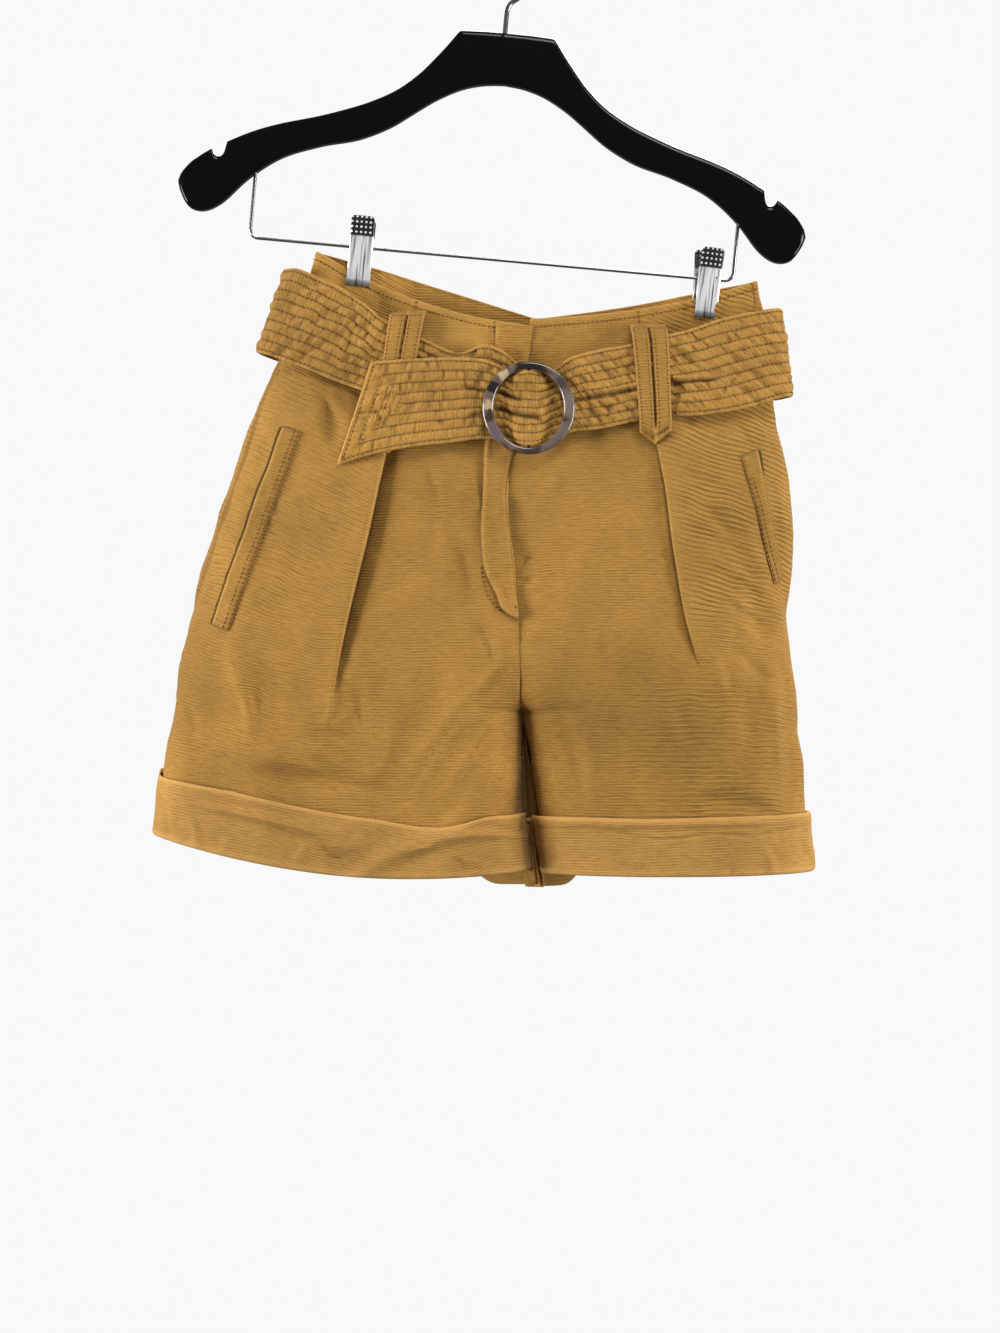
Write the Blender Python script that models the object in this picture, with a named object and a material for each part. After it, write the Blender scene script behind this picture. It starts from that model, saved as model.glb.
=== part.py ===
"""High-waist shorts with turned-up cuffs and a quilted belt, hung by two clips from a hanger.

Metres, +Z up, the front of the shorts towards -Y. The origin is the seat of the hanger's hook, where a rod carries
it. Left and right are the wearer's, so the right leg is on the -X side. Sizes in the tables are in millimetres.
The hanger hangs rolled by ROLL about the seat, and the cloth hangs plumb from its clips.

A leg is a stack of rows: t runs from the top edge (0) past the top of the cuff (1) to the hem's fold (HEM).
Around a row, q runs from -1 (centre back) through 0 (the outermost point of the side) to 1 (centre front).
"""
import math

import bmesh
import bpy
import numpy as np
from mathutils import Matrix, Vector

MM = 0.001
ROLL = math.radians(5.2)      # the hanger's tilt, its +X end lower
SEAM_GAP = 0.3                # between sewn pieces, and between a piece and what it lies on
CLOTH = 1.5                   # thickness of the cotton with its seam allowances
HEM = 1.12                    # t of the fold under the cuff
CROTCH = 0.785                # t where the two legs part
CROTCH_CURVE = 36.0           # how far above that the rise seam starts to turn under
RISE_LENGTH = 345.0           # length of the centre line for t from 0 to 1

# --------------------------------------------------------------------------------------------------------------------
# The legs. side and centre are where a row begins and ends, front and back its depth from the middle plane,
# round the width of its rounded ends, turn how far the side is turned to the back, and seam the q of its side seam.
LEG_COLUMNS = ("t", "side_x", "side_z", "centre_x", "centre_z", "sag", "front", "back", "round", "turn", "seam")
RIGHT_ROWS = (
    (0.00, -138, -216.0, 15.8, -269, -11, 9.0, 9, 26, 0, 0.00),
    (0.12, -153, -259.0, 8.6, -313, -8, 13.0, 12, 30, 0, 0.00),
    (0.25, -171, -308.0, -0.5, -359, -6, 17.5, 16, 34, 0, 0.03),
    (0.38, -189, -353.0, -3.3, -398, -5, 21.5, 20, 38, 0, 0.09),
    (0.50, -205, -396.0, 0.8, -437, -5, 24.5, 23, 42, 0, 0.10),
    (0.65, -222, -452.0, 4.6, -489, -6, 27.0, 26, 46, 0, 0.07),
    (0.80, -234, -511.0, 6.0, -543, -8, 29.0, 28, 50, 0, 0.02),
    (1.00, -246, -584.0, 3.5, -612, -12, 30.0, 30, 52, 0, 0.00),
    (1.12, -252, -626.0, 9.5, -651, -14, 31.0, 31, 54, 0, 0.00),
)
LEFT_ROWS = (
    (0.00, 172, -236.5, 17.0, -264, -6, 9.0, 9, 30, 0, 0.10),
    (0.12, 179, -282.0, 9.0, -312, -3, 13.0, 12, 34, 0, 0.08),
    (0.25, 184, -330.0, -0.3, -359, 0, 18.0, 18, 42, 2, 0.00),
    (0.38, 195, -379.0, -3.1, -398, 0, 24.0, 25, 50, 4, -0.10),
    (0.50, 196, -425.0, 1.0, -437, 0, 29.0, 31, 56, 7, -0.17),
    (0.65, 194, -482.0, 4.9, -489, 0, 34.0, 37, 62, 11, -0.23),
    (0.80, 202, -540.0, 7.5, -543, 0, 38.0, 42, 68, 15, -0.27),
    (1.00, 208, -612.0, 16.5, -612, 0, 42.0, 46, 72, 20, -0.30),
    (1.12, 213, -653.0, 21.0, -653, 0, 44.0, 48, 74, 22, -0.30),
)
# Depth of the centre seam, which both legs share.
CENTRE_COLUMNS = ("t", "front", "back")
CENTRE_ROWS = ((0.00, 9, 9), (0.12, 14, 12), (0.25, 18, 17), (0.38, 21, 21), (0.50, 24, 24),
               (0.65, 27, 27), (0.80, 29, 29), (1.12, 33, 33))
CENTRE_FROM = 0.4             # share of a row's width past which the depth nears the centre's
BELLY = 0.12                  # how much deeper a row is in its middle
# The back stands higher than the front at the top edge, at mid row and at the centre.
BACK_RISE = {"right": (12, 7), "left": (4, 2)}
BACK_RISE_ENDS = 0.30
# The back of each hem hangs lower beside the inseam, at this share of the width.
INSEAM_DROOP, DROOP_AT, DROOP_WIDTH = 15.0, 0.88, 0.07
DROOP_T = (0.90, 1.05)
# t of a panel's rows, apart from those beside the crotch and under the cuff.
PLAIN_ROWS = [0, 0.025, 0.06, 0.11, 0.17, 0.23, 0.29, 0.35, 0.41, 0.48, 0.55, 0.62, 0.85, 0.92]
FRONT_POINTS = 10             # columns of a front on each side of its pleat
BACK_POINTS = 15              # columns of a back
PLACE_STEPS, LEAST_W = 40, 0.002        # steps of the search for a point of a panel, and the least w it returns
FLY_STEP = 1.3                # the left front lies this much under the right one at the fly
FLY_STEP_NEAR = (14.0, 6.0)   # distance from the centre line where that begins, and where it is complete
FLY_STEP_T = (0.66, 0.60)
# The clips pinch front and back together here.
PINCH_X = (-107.5, 136.0)
PINCH_WIDTH, PINCH_T, PINCH_FIRM = 30.0, 0.16, 1.3
PINCHED = CLOTH + 0.4         # depth of the cloth in a clip
# Pleats: w is the share of a row's width from the side, height how far the side part stands over the centre part.
PLEAT_COLUMNS = ("t", "w", "height")
RIGHT_PLEAT = ((0.00, 0.460, 0.3), (0.20, 0.500, 0.6), (0.30, 0.515, 2.2), (0.38, 0.515, 3.8),
               (0.50, 0.500, 4.6), (0.60, 0.482, 3.6), (0.70, 0.465, 1.6), (0.78, 0.455, 0.2), (1.12, 0.450, 0.0))
LEFT_PLEAT = ((0.00, 0.545, 0.3), (0.16, 0.495, 0.6), (0.27, 0.461, 2.4), (0.36, 0.450, 3.8),
              (0.48, 0.439, 4.2), (0.60, 0.403, 3.0), (0.70, 0.360, 1.4), (0.78, 0.340, 0.2), (1.12, 0.330, 0.0))
PLEAT_EDGE = 1.5              # half the width of the step
PLEAT_SPREAD = (40.0, 22.0)   # how far the raised and the sunk side fade out
PLEAT_SINK = 0.3              # the sunk side's share of the height
# Broad folds of the cloth: w and t of the middle, size across and along, run sideways for each mm down, and height.
FOLD_SIDE_FADE = 20.0         # width of the side's rounding that they leave alone
FRONT_FOLDS = {
    "right": ((0.20, 0.80, 14, 110, 0.25, 2.5), (0.62, 0.86, 16, 80, -0.35, 2.6), (0.85, 0.62, 10, 60, -0.2, 1.8),
              (0.72, 0.45, 10, 50, 0.3, -2.0), (0.90, 0.97, 16, 30, -0.6, 3.0)),
    "left": ((0.16, 0.50, 9, 60, -0.5, 2.4), (0.28, 0.42, 8, 55, -0.6, -2.0), (0.12, 0.78, 10, 70, 0.3, 2.6),
             (0.55, 0.80, 16, 90, 0.2, 2.2), (0.80, 0.55, 12, 70, 0.25, 1.8)),
}
BACK_FOLDS = {
    "right": ((0.35, 0.70, 16, 110, 0.2, 2.6), (0.75, 0.85, 14, 70, -0.3, 2.6), (0.55, 0.45, 12, 60, 0.35, -2.0)),
    "left": ((0.40, 0.72, 16, 110, -0.2, 2.8), (0.75, 0.85, 14, 70, 0.3, 2.4), (0.60, 0.45, 12, 60, -0.35, -2.0)),
}

CUFF_CLOTH = 2.2
CUFF_ROWS = [0.99, 1.03, 1.075, HEM]    # t of the cuff's rows, from its top edge down
CUFF_STAND = 1.6              # the cuff's free top edge stands this much off the leg

# --------------------------------------------------------------------------------------------------------------------
# Pieces that lie on the fronts, by their outline seen from the front.
FLY_COLUMNS = ("z", "raised_x", "edge_x")
FLY_ROWS = ((-270, -12.6, 14.6), (-300, -14.6, 10.8), (-354, -20.4, 0.2), (-389, -21.8, -4.6), (-419, -23.0, -1.8),
            (-443, -19.7, 0.7), (-458, -12.5, 2.6), (-470, -6.5, 4.2), (-475.5, 1.8, 4.6))
FLY_CLOTH = 1.2
# Corners of a pocket's welt as (x, z): outer top, inner top, outer low, inner low.
WELTS = {"right": ((-162.0, -340.7), (-147.1, -344.3), (-209.8, -478.7), (-196.4, -484.4)),
         "left": ((171.5, -356.8), (157.9, -361.2), (189.0, -446.0), (181.5, -451.5))}
WELT_CLOTH = 1.2
WELT_LIFT = 0.5
# Belt loops: a strip folded at a mitred point, so two strips lie side by side. left and right are its outer edges,
# and over is the depth of its inner face where it passes over the belt.
LOOP_COLUMNS = ("z", "left", "right", "over")
LOOPS = {
    ("front", "right"): (
        (-259.5, -85.2, -60.4, 0), (-262.5, -85.6, -61.0, 15), (-266.5, -86.2, -61.8, 19.4),
        (-296, -90.5, -67.0, 21.0), (-318, -93.5, -70.5, 22.4), (-334, -95.8, -73.4, 23.4),
        (-343, -96.8, -74.8, 23.6), (-351, -97.8, -76.2, 0)),
    ("front", "left"): (
        (-268.5, 81.4, 106.4, 0), (-273.0, 81.9, 106.8, 16), (-278, 82.5, 107.1, 21.6),
        (-298, 84.4, 108.2, 22.8), (-318, 86.0, 109.0, 24.2), (-333, 87.2, 109.6, 25.2),
        (-340, 87.6, 109.8, 25.2), (-345, 87.9, 110.0, 0)),
    ("back", "right"): (
        (-250, -72, -49, 0), (-254, -72, -49, 16), (-258, -72, -49, 20.4), (-280, -72, -49, 21.2),
        (-300, -72, -49, 22.6), (-318, -72, -49, 23.8), (-326, -72, -49, 24.0), (-334, -72, -49, 0)),
    ("back", "left"): (
        (-258, 66, 89, 0), (-262, 66, 89, 16), (-266, 66, 89, 20.4), (-286, 66, 89, 21.2),
        (-306, 66, 89, 22.8), (-324, 66, 89, 24.2), (-332, 66, 89, 24.4), (-340, 66, 89, 0)),
}
LOOP_CLOTH = 1.5
LOOP_SLIT = (0.46, 0.54)      # the slit between the two strips, as shares of the width
LOOP_TIP = 9.0                # how far the point reaches below the loop's sides
LOOP_LIFT = 1.9               # its ends' distance from the panel

# --------------------------------------------------------------------------------------------------------------------
# The belt: its upper and lower edge station by station. y is the depth of its inner face.
BELT_COLUMNS = ("top_x", "top_y", "top_z", "low_x", "low_y", "low_z")
BELT_RIGHT = (                # from the fold at the wearer's right side to the buckle's bar
    (-159.8, 0.0, -228.8, -177.8, 0.0, -288.0), (-156.5, -6.5, -229.0, -175.0, -7.0, -289.0),
    (-146.5, -10.8, -231.0, -166.0, -11.8, -292.0), (-117.0, -13.6, -245.5, -146.0, -16.0, -300.0),
    (-101.0, -14.8, -257.0, -124.0, -17.2, -309.0), (-88.0, -15.6, -267.0, -106.0, -18.2, -316.0),
    (-63.5, -16.2, -279.0, -76.0, -18.8, -330.0), (-38.5, -16.6, -289.0, -47.0, -19.0, -338.0),
    (-22.0, -17.0, -284.0, -26.0, -19.0, -341.0), (-9.0, -17.4, -287.0, -10.0, -19.2, -340.0),
    (6.0, -18.4, -300.0, 6.0, -19.6, -336.0))
BELT_LEFT = (                 # from the fold at the wearer's left side through the buckle to the pointed end
    (187.3, 0.0, -256.3, 195.0, 0.0, -318.2), (184.5, -6.5, -256.8, 192.5, -7.0, -318.8),
    (176.0, -11.5, -258.4, 185.0, -12.8, -320.8), (147.0, -15.0, -264.8, 158.0, -18.4, -329.0),
    (125.0, -16.4, -272.3, 133.0, -20.4, -333.0), (105.5, -17.6, -277.4, 110.0, -21.4, -334.4),
    (80.0, -17.8, -283.7, 83.0, -21.6, -338.2), (60.5, -18.4, -287.2, 62.0, -21.6, -342.6),
    (41.0, -22.0, -292.5, 41.0, -22.4, -345.0), (31.0, -22.6, -299.5, 31.0, -22.8, -348.0),
    (23.6, -23.2, -303.0, 23.6, -23.2, -350.0), (17.6, -26.4, -304.5, 17.6, -26.4, -351.5),
    (10.6, -29.2, -305.0, 10.6, -29.2, -352.0), (3.6, -26.4, -304.5, 3.6, -26.4, -351.5),
    (-2.4, -23.3, -302.0, -2.4, -23.3, -350.5), (-12.0, -23.0, -297.5, -12.0, -23.0, -350.0),
    (-24.0, -23.2, -294.0, -24.0, -23.6, -350.0), (-45.0, -23.6, -293.4, -45.0, -25.2, -352.7),
    (-64.0, -24.0, -294.0, -72.0, -26.6, -356.0), (-83.0, -24.2, -295.2, -98.6, -27.4, -361.2),
    (-98.6, -24.0, -296.6, -122.5, -27.6, -368.5))
BELT_BACK = (                 # round the back, from the wearer's left side to the right
    (187.3, 0.3, -256.3, 195.0, 0.3, -318.2), (184.5, 6.5, -256.6, 192.5, 7.0, -318.5),
    (176.0, 11.5, -257.5, 185.0, 13.0, -319.5), (150.0, 14.5, -260.0, 158.0, 18.0, -322.0),
    (100.0, 15.5, -264.0, 104.0, 20.5, -326.0), (50.0, 16.0, -267.0, 52.0, 21.0, -329.0),
    (4.0, 16.5, -268.0, 4.0, 21.0, -330.0), (-40.0, 16.0, -263.0, -44.0, 20.0, -325.0),
    (-90.0, 15.0, -252.0, -98.0, 18.0, -313.0), (-130.0, 13.0, -240.0, -142.0, 15.5, -300.0),
    (-148.0, 10.5, -233.0, -166.0, 11.8, -292.0), (-156.5, 6.5, -229.5, -175.0, 7.0, -289.0),
    (-159.8, 0.3, -228.8, -177.8, 0.3, -288.0))
BELT_CLOTH = 2.2
QUILT_ROWS = 9                # lines of stitching along the belt
QUILT_RISE = 0.7              # how far the cloth swells between them
QUILT_EDGE = -0.5             # and how far its long edges are thinned

# --------------------------------------------------------------------------------------------------------------------
# The buckle: a ring with a middle bar.
RING_CENTRE = (10.6, -329.0)
RING_BACK, RING_THICK = -26.5, 4.4      # depth of its back face, and its thickness
RING_OUTER = 32.2
RING_INNER = (24.3, 27.1)               # half width and half height of the hole
RING_BAR = 1.2                          # radius of the bar
RING_BAR_Y = -27.7
RING_BAR_BITE = 1.5                     # how far the bar runs into the ring
# Its section: share of the way from the hole to the rim, and of the thickness from the back face.
RING_PROFILE = ((0.0, 0.12), (0.12, 0.0), (0.88, 0.0), (1.0, 0.12),
                (1.0, 0.75), (0.75, 1.0), (0.25, 1.0), (0.0, 0.75))
RING_STEPS = 40

# --------------------------------------------------------------------------------------------------------------------
# The hanger, before it is rolled. x is the distance from its middle plane.
HANGER_X = 2.0
HANGER_COLUMNS = ("x", "top", "low")
HANGER_ROWS = ((0, -63.0, -99.0), (16, -63.2, -101.0), (33.5, -64.0, -107.0), (39, -72.0, -110.0),
               (45, -80.0, -113.5), (59, -97.5, -123.5), (73, -110.0, -134.0), (95, -121.5, -145.5),
               (125, -132.5, -154.0), (155, -140.8, -167.0), (175, -148.5, -183.5), (190, -157.0, -200.0),
               (203, -163.5, -206.5), (213, -172.0, -204.0), (219, -181.5, -198.0))
HANGER_END = (221.5, -187.0, -192.5)
HANGER_THICK = 12.0
HANGER_END_THICK = 6.6
HANGER_EDGE = 3.0             # chamfer of its long edges
NOTCH = (194.5, -163.5)       # middle of the strap notch
NOTCH_RADIUS = 4.0
NOTCH_RUN, NOTCH_FLARE = 14.0, 1.15     # how far up its cutter runs, and how much wider that is at the top
HOOK_WIRE = 1.7               # radius
HOOK_INNER = 18.0
HOOK_LEAVES = -58.0           # angle where the hook's bow turns back to the stem
HOOK_TIP = 200.0              # angle of the hook's end
HOOK_NECK = ((5.2, -38.6), (2.0, -41.6), (0.4, -45.5), (0.0, -50.0))     # x and z from the bow down
BAR_WIRE = 1.2
BAR_Z = -221.8
BAR_X = (-166.0, 175.5)
BAR_BEND = 6.0
BAR_SHORT = 1.7               # how far its risers stop under the hanger
CLIP_X = (-87.0, 157.5)
CLIP_WIDTH = 16.5
CLIP_LEAF = 1.0
BARREL_RADIUS, BARREL_SHORT = 5.4, 3.0  # the spring's barrel, and how much shorter than the clip it is
# Side view of one leaf: height along the clip and distance of its inner face from the middle.
CLIP_COLUMNS = ("z", "away")
CLIP_ROWS = ((-200.8, 7.6), (-206.0, 7.4), (-215.0, 5.2), (-228.0, 4.2), (-238.0, 3.6), (-249.6, 2.6))


# --------------------------------------------------------------------------------------------------------------------
# Tables and curves
def column(rows, columns, name):
    return np.array([row[columns.index(name)] for row in rows], float)


def smooth(at, xs, ys):
    """A cubic through the points (xs, ys) with the slopes of their neighbours, read at the values `at`."""
    at = np.clip(np.asarray(at, float), xs[0], xs[-1])
    slopes = np.gradient(ys, xs)
    k = np.clip(np.searchsorted(xs, at, side="right") - 1, 0, len(xs) - 2)
    width = xs[k + 1] - xs[k]
    u = (at - xs[k]) / width
    return ((2 * u**3 - 3 * u**2 + 1) * ys[k] + (u**3 - 2 * u**2 + u) * width * slopes[k]
            + (3 * u**2 - 2 * u**3) * ys[k + 1] + (u**3 - u**2) * width * slopes[k + 1])


def reader(rows, columns):
    """A function of (name, t) that reads a table whose first column is t."""
    first = column(rows, columns, columns[0])
    return lambda name, t: smooth(t, first, column(rows, columns, name))


def step(x, low, high):
    u = np.clip((x - low) / (high - low), 0, 1)
    return u * u * (3 - 2 * u)


LEG = {"right": reader(RIGHT_ROWS, LEG_COLUMNS), "left": reader(LEFT_ROWS, LEG_COLUMNS)}
PLEAT = {"right": reader(RIGHT_PLEAT, PLEAT_COLUMNS), "left": reader(LEFT_PLEAT, PLEAT_COLUMNS)}
CENTRE = reader(CENTRE_ROWS, CENTRE_COLUMNS)


# --------------------------------------------------------------------------------------------------------------------
# The surface of a leg
def share_of(q):
    """w, the share of the row's width from the side, for a place q around it."""
    return 0.5 - 0.5 * np.cos(math.pi * np.abs(q))


def place_of(w):
    return np.arccos(np.clip(1 - 2 * w, -1, 1)) / math.pi


def rounding(distance, zone):
    """From 0 at a row's end to 1 past its rounded zone, as a quarter of an ellipse."""
    return np.sqrt(np.clip(1 - np.clip(1 - distance / zone, 0, 1) ** 2, 0, 1))


def row_width(side, t):
    leg = LEG[side]
    return np.abs(leg("centre_x", t) - leg("side_x", t))


def surface(side, q, t):
    """Points of the outer face of a leg with no folds, in millimetres."""
    q, t = np.broadcast_arrays(np.asarray(q, float), np.asarray(t, float))
    leg = LEG[side]
    w = share_of(q)
    width = row_width(side, t)
    x = leg("side_x", t) + (leg("centre_x", t) - leg("side_x", t)) * w
    z = leg("side_z", t) + (leg("centre_z", t) - leg("side_z", t)) * w + leg("sag", t) * np.sin(math.pi * w)
    back = q < 0
    middle, centre = BACK_RISE[side]
    fades = np.clip(1 - t / BACK_RISE_ENDS, 0, 1)
    z = z + np.where(back, fades * (middle * np.sin(math.pi * w) + centre * w), 0)
    z = z - np.where(back, INSEAM_DROOP * step(t, *DROOP_T) * np.exp(-(((w - DROOP_AT) / DROOP_WIDTH) ** 2)), 0)
    own = np.where(back, leg("back", t), leg("front", t))
    shared = np.where(back, CENTRE("back", t), CENTRE("front", t))
    depth = own + (shared - own) * step(w, CENTRE_FROM, 1.0) + own * BELLY * np.sin(math.pi * w)
    above = np.clip((CROTCH - t) * RISE_LENGTH / CROTCH_CURVE, 0, 1)
    open_centre = np.sqrt(1 - (1 - above) ** 2)
    zone = leg("round", t)
    depth = depth * rounding(w * width, zone)
    depth = depth * (open_centre + (1 - open_centre) * rounding((1 - w) * width, zone))
    pinch = sum(np.exp(-(((x - at) / PINCH_WIDTH) ** 2)) for at in PINCH_X) * np.exp(-((t / PINCH_T) ** 2))
    depth = depth + (np.minimum(depth, PINCHED) - depth) * np.clip(pinch * PINCH_FIRM, 0, 1)
    turned = leg("turn", t) * (1 - w) ** 1.5
    return np.stack([x, turned + np.where(back, depth, -depth), z], axis=-1)


def normals(side, q, t):
    """Directions straight out of the cloth."""
    across = surface(side, np.minimum(q + 0.01, 1), t) - surface(side, np.maximum(q - 0.01, -1), t)
    along = surface(side, q, t + 0.004) - surface(side, q, np.maximum(t - 0.004, 0))
    out = np.cross(across, along) * (1 if side == "left" else -1)
    return out / np.linalg.norm(out, axis=-1, keepdims=True)


def folds(side, q, t):
    """How far the pleat and the broad folds move the cloth out."""
    q, t = np.broadcast_arrays(np.asarray(q, float), np.asarray(t, float))
    w = share_of(q)
    width = row_width(side, t)
    front = q > 0
    run = (w - PLEAT[side]("w", t)) * width
    height = PLEAT[side]("height", t)
    raised = height * np.exp(-np.abs(run) / PLEAT_SPREAD[0])
    sunk = -PLEAT_SINK * height * np.exp(-np.abs(run) / PLEAT_SPREAD[1])
    out = np.where(front, raised + (sunk - raised) * step(run, -PLEAT_EDGE, PLEAT_EDGE), 0)
    for on_side, table in ((front, FRONT_FOLDS[side]), (~front, BACK_FOLDS[side])):
        for at_w, at_t, across, along, slant, high in table:
            down = (t - at_t) * RISE_LENGTH
            sideways = (w - at_w) * width - slant * down
            shape = np.exp(-((sideways / across) ** 2) - (down / along) ** 2)
            out = out + np.where(on_side, high * shape * rounding(w * width, FOLD_SIDE_FADE), 0)
    if side == "left":
        under = step((1 - w) * width, *FLY_STEP_NEAR) * step(t, *FLY_STEP_T)
        out = out - np.where(front, FLY_STEP * under, 0)
    return out


def cloth(side, q, t, lift):
    """Points of a leg's cloth, moved out by lift: 0 is its outer face, and -CLOTH its inner one."""
    return surface(side, q, t) + normals(side, q, t) * (folds(side, q, t) + lift)[..., None]


def places_along(side, t, low, high, shares):
    """The q of points at these shares of a row's length between two places, with half a seam gap left at each end."""
    q = np.linspace(low, high, 240)
    steps = np.linalg.norm(np.diff(surface(side, q, t), axis=0), axis=1)
    length = np.concatenate([[0], np.cumsum(steps)])
    trim = SEAM_GAP / 2
    return np.interp(trim + shares * (length[-1] - 2 * trim), length, q)


def place(part, side, x, z):
    """(q, t) of the panel's point that is seen at (x, z) from the front."""
    leg = LEG[side]
    facing = 1 if part == "front" else -1
    t = np.full(np.shape(x), 0.3)
    for _ in range(PLACE_STEPS):
        w = np.clip((x - leg("side_x", t)) / (leg("centre_x", t) - leg("side_x", t)), LEAST_W, 1)
        q = facing * place_of(w)
        t = np.clip(t + (surface(side, q, t)[..., 2] - z) / RISE_LENGTH, 0, HEM)
    return q, t


def lying_on(part, side, x, z, lift):
    """Points over a panel at (x, z) seen from the front, moved out by lift."""
    q, t = place(part, side, x, z)
    return cloth(side, q, t, lift + 0 * q)


# --------------------------------------------------------------------------------------------------------------------
# Blender meshes
def clear_scene():
    for obj in list(bpy.data.objects):
        bpy.data.objects.remove(obj)


def material(name, colour, roughness, metallic=0.0):
    made = bpy.data.materials.new(name)
    made.use_nodes = True
    shader = made.node_tree.nodes["Principled BSDF"]
    shader.inputs["Base Color"].default_value = (*colour, 1)
    shader.inputs["Roughness"].default_value = roughness
    shader.inputs["Metallic"].default_value = metallic
    return made


def new_object(name, bm, look, smooth_angle=40):
    bmesh.ops.recalc_face_normals(bm, faces=bm.faces)
    mesh = bpy.data.meshes.new(name)
    bm.to_mesh(mesh)
    bm.free()
    mesh.materials.append(look)
    mesh.shade_smooth()
    mesh.set_sharp_from_angle(angle=math.radians(smooth_angle))
    obj = bpy.data.objects.new(name, mesh)
    bpy.context.scene.collection.objects.link(obj)
    return obj


def grid_place(vert, columns, rows):
    """The column and row of a vertex of a grid of size 1 that hasn't been moved yet."""
    return round((vert.co.x + 1) / 2 * (columns - 1)), round((vert.co.y + 1) / 2 * (rows - 1))


def wall(name, outer, inner, look, holes=()):
    """A closed wall between two sheets of points, [row][column] in millimetres. holes are cells that are left open."""
    rows, columns = outer.shape[:2]
    bm = bmesh.new()
    bmesh.ops.create_grid(bm, x_segments=columns - 1, y_segments=rows - 1, size=1)
    if holes:
        gone = []
        for face in bm.faces:
            centre = face.calc_center_median()
            cell = (int((centre.x + 1) / 2 * (columns - 1)), int((centre.y + 1) / 2 * (rows - 1)))
            if cell in holes:
                gone.append(face)
        bmesh.ops.delete(bm, geom=gone, context="FACES")
    lifted = bmesh.ops.extrude_face_region(bm, geom=bm.faces[:])["geom"]
    top = {item for item in lifted if isinstance(item, bmesh.types.BMVert)}
    for vert in bm.verts:
        i, j = grid_place(vert, columns, rows)
        vert.co = Vector((outer if vert in top else inner)[j][i]) * MM
    return new_object(name, bm, look)


def loft(name, rings, look):
    """A closed body through rings of points, [ring][point] in millimetres, with flat ends."""
    count, points = rings.shape[:2]
    bm = bmesh.new()
    bmesh.ops.create_grid(bm, x_segments=points, y_segments=count - 1, size=1)
    for vert in bm.verts:
        i, j = grid_place(vert, points + 1, count)
        vert.co = Vector(rings[j][i % points]) * MM
    bmesh.ops.remove_doubles(bm, verts=bm.verts, dist=1e-6)
    ends = [edge for edge in bm.edges if edge.is_boundary]
    bmesh.ops.holes_fill(bm, edges=ends)
    return new_object(name, bm, look)


def wire(name, points, radius, look):
    """A round wire along points in millimetres."""
    curve = bpy.data.curves.new(name, "CURVE")
    curve.dimensions = "3D"
    curve.bevel_depth = radius * MM
    curve.bevel_resolution = 2
    curve.use_fill_caps = True
    spline = curve.splines.new("POLY")
    spline.points.add(len(points) - 1)
    for target, point in zip(spline.points, points):
        target.co = (*(Vector(point) * MM), 1)
    curve.materials.append(look)
    obj = bpy.data.objects.new(name, curve)
    bpy.context.scene.collection.objects.link(obj)
    return obj


def rolled(obj):
    """Turns a piece of the hanger about the seat of the hook."""
    obj.rotation_euler = (0, ROLL, 0)
    return obj


def cut(obj, cutter, operation="DIFFERENCE"):
    """Cuts, joins or crosses obj with a helper, which is left out of the model."""
    cutter.hide_render = True
    cutter.display_type = "WIRE"
    modifier = obj.modifiers.new(cutter.name, "BOOLEAN")
    modifier.operation = operation
    modifier.object = cutter


# --------------------------------------------------------------------------------------------------------------------
# The shorts
def body_rows():
    """The t of a panel's rows, closer where the rise seam turns under."""
    turn = [CROTCH - CROTCH_CURVE * (1 - math.cos(angle)) / RISE_LENGTH for angle in np.linspace(0, math.pi / 2, 5)]
    return sorted(PLAIN_ROWS + turn) + CUFF_ROWS


def panel_places(side, part, rows):
    """q and t of a panel's points, a row for each t, with two columns at the pleat's step on a front."""
    places = []
    for t in rows:
        seam = float(LEG[side]("seam", t))
        if part == "back":
            places.append(places_along(side, t, seam, -1, np.linspace(0, 1, BACK_POINTS)))
            continue
        pleat = float(PLEAT[side]("w", t))
        edge = PLEAT_EDGE / float(row_width(side, t))
        share = np.linspace(0, 1, FRONT_POINTS)
        places.append(np.concatenate([places_along(side, t, seam, place_of(pleat - edge), share),
                                      places_along(side, t, place_of(pleat + edge), 1, share)]))
    q = np.array(places)
    return q, np.repeat(np.array(rows)[:, None], q.shape[1], axis=1)


def panel(side, part, look):
    q, t = panel_places(side, part, body_rows())
    return wall(f"{part}_{side}", cloth(side, q, t, 0), cloth(side, q, t, -CLOTH), look)


def cuff(side, part, look):
    """Half of a turned-up cuff, which stands off the leg at its free top edge."""
    q, t = panel_places(side, part, CUFF_ROWS)
    lift = SEAM_GAP + CUFF_STAND * step(t, CUFF_ROWS[-2], CUFF_ROWS[0])
    return wall(f"cuff_{side}_{part}", cloth(side, q, t, lift + CUFF_CLOTH), cloth(side, q, t, lift), look)


def fly(look):
    """The folded edge of the right front, stitched down in the shape of a J."""
    z_of = column(FLY_ROWS, FLY_COLUMNS, "z")
    raised, edge = column(FLY_ROWS, FLY_COLUMNS, "raised_x"), column(FLY_ROWS, FLY_COLUMNS, "edge_x")
    zs = np.concatenate([np.linspace(z_of[0], -440, 12), z_of[-4:]])
    ends = smooth(-zs, -z_of, raised), smooth(-zs, -z_of, edge) - SEAM_GAP
    share = np.linspace(0, 1, 4)
    x = ends[0][:, None] + (ends[1] - ends[0])[:, None] * share
    z = np.broadcast_to(zs[:, None], x.shape)
    return wall("fly", lying_on("front", "right", x, z, SEAM_GAP + FLY_CLOTH),
                lying_on("front", "right", x, z, SEAM_GAP), look)


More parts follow.
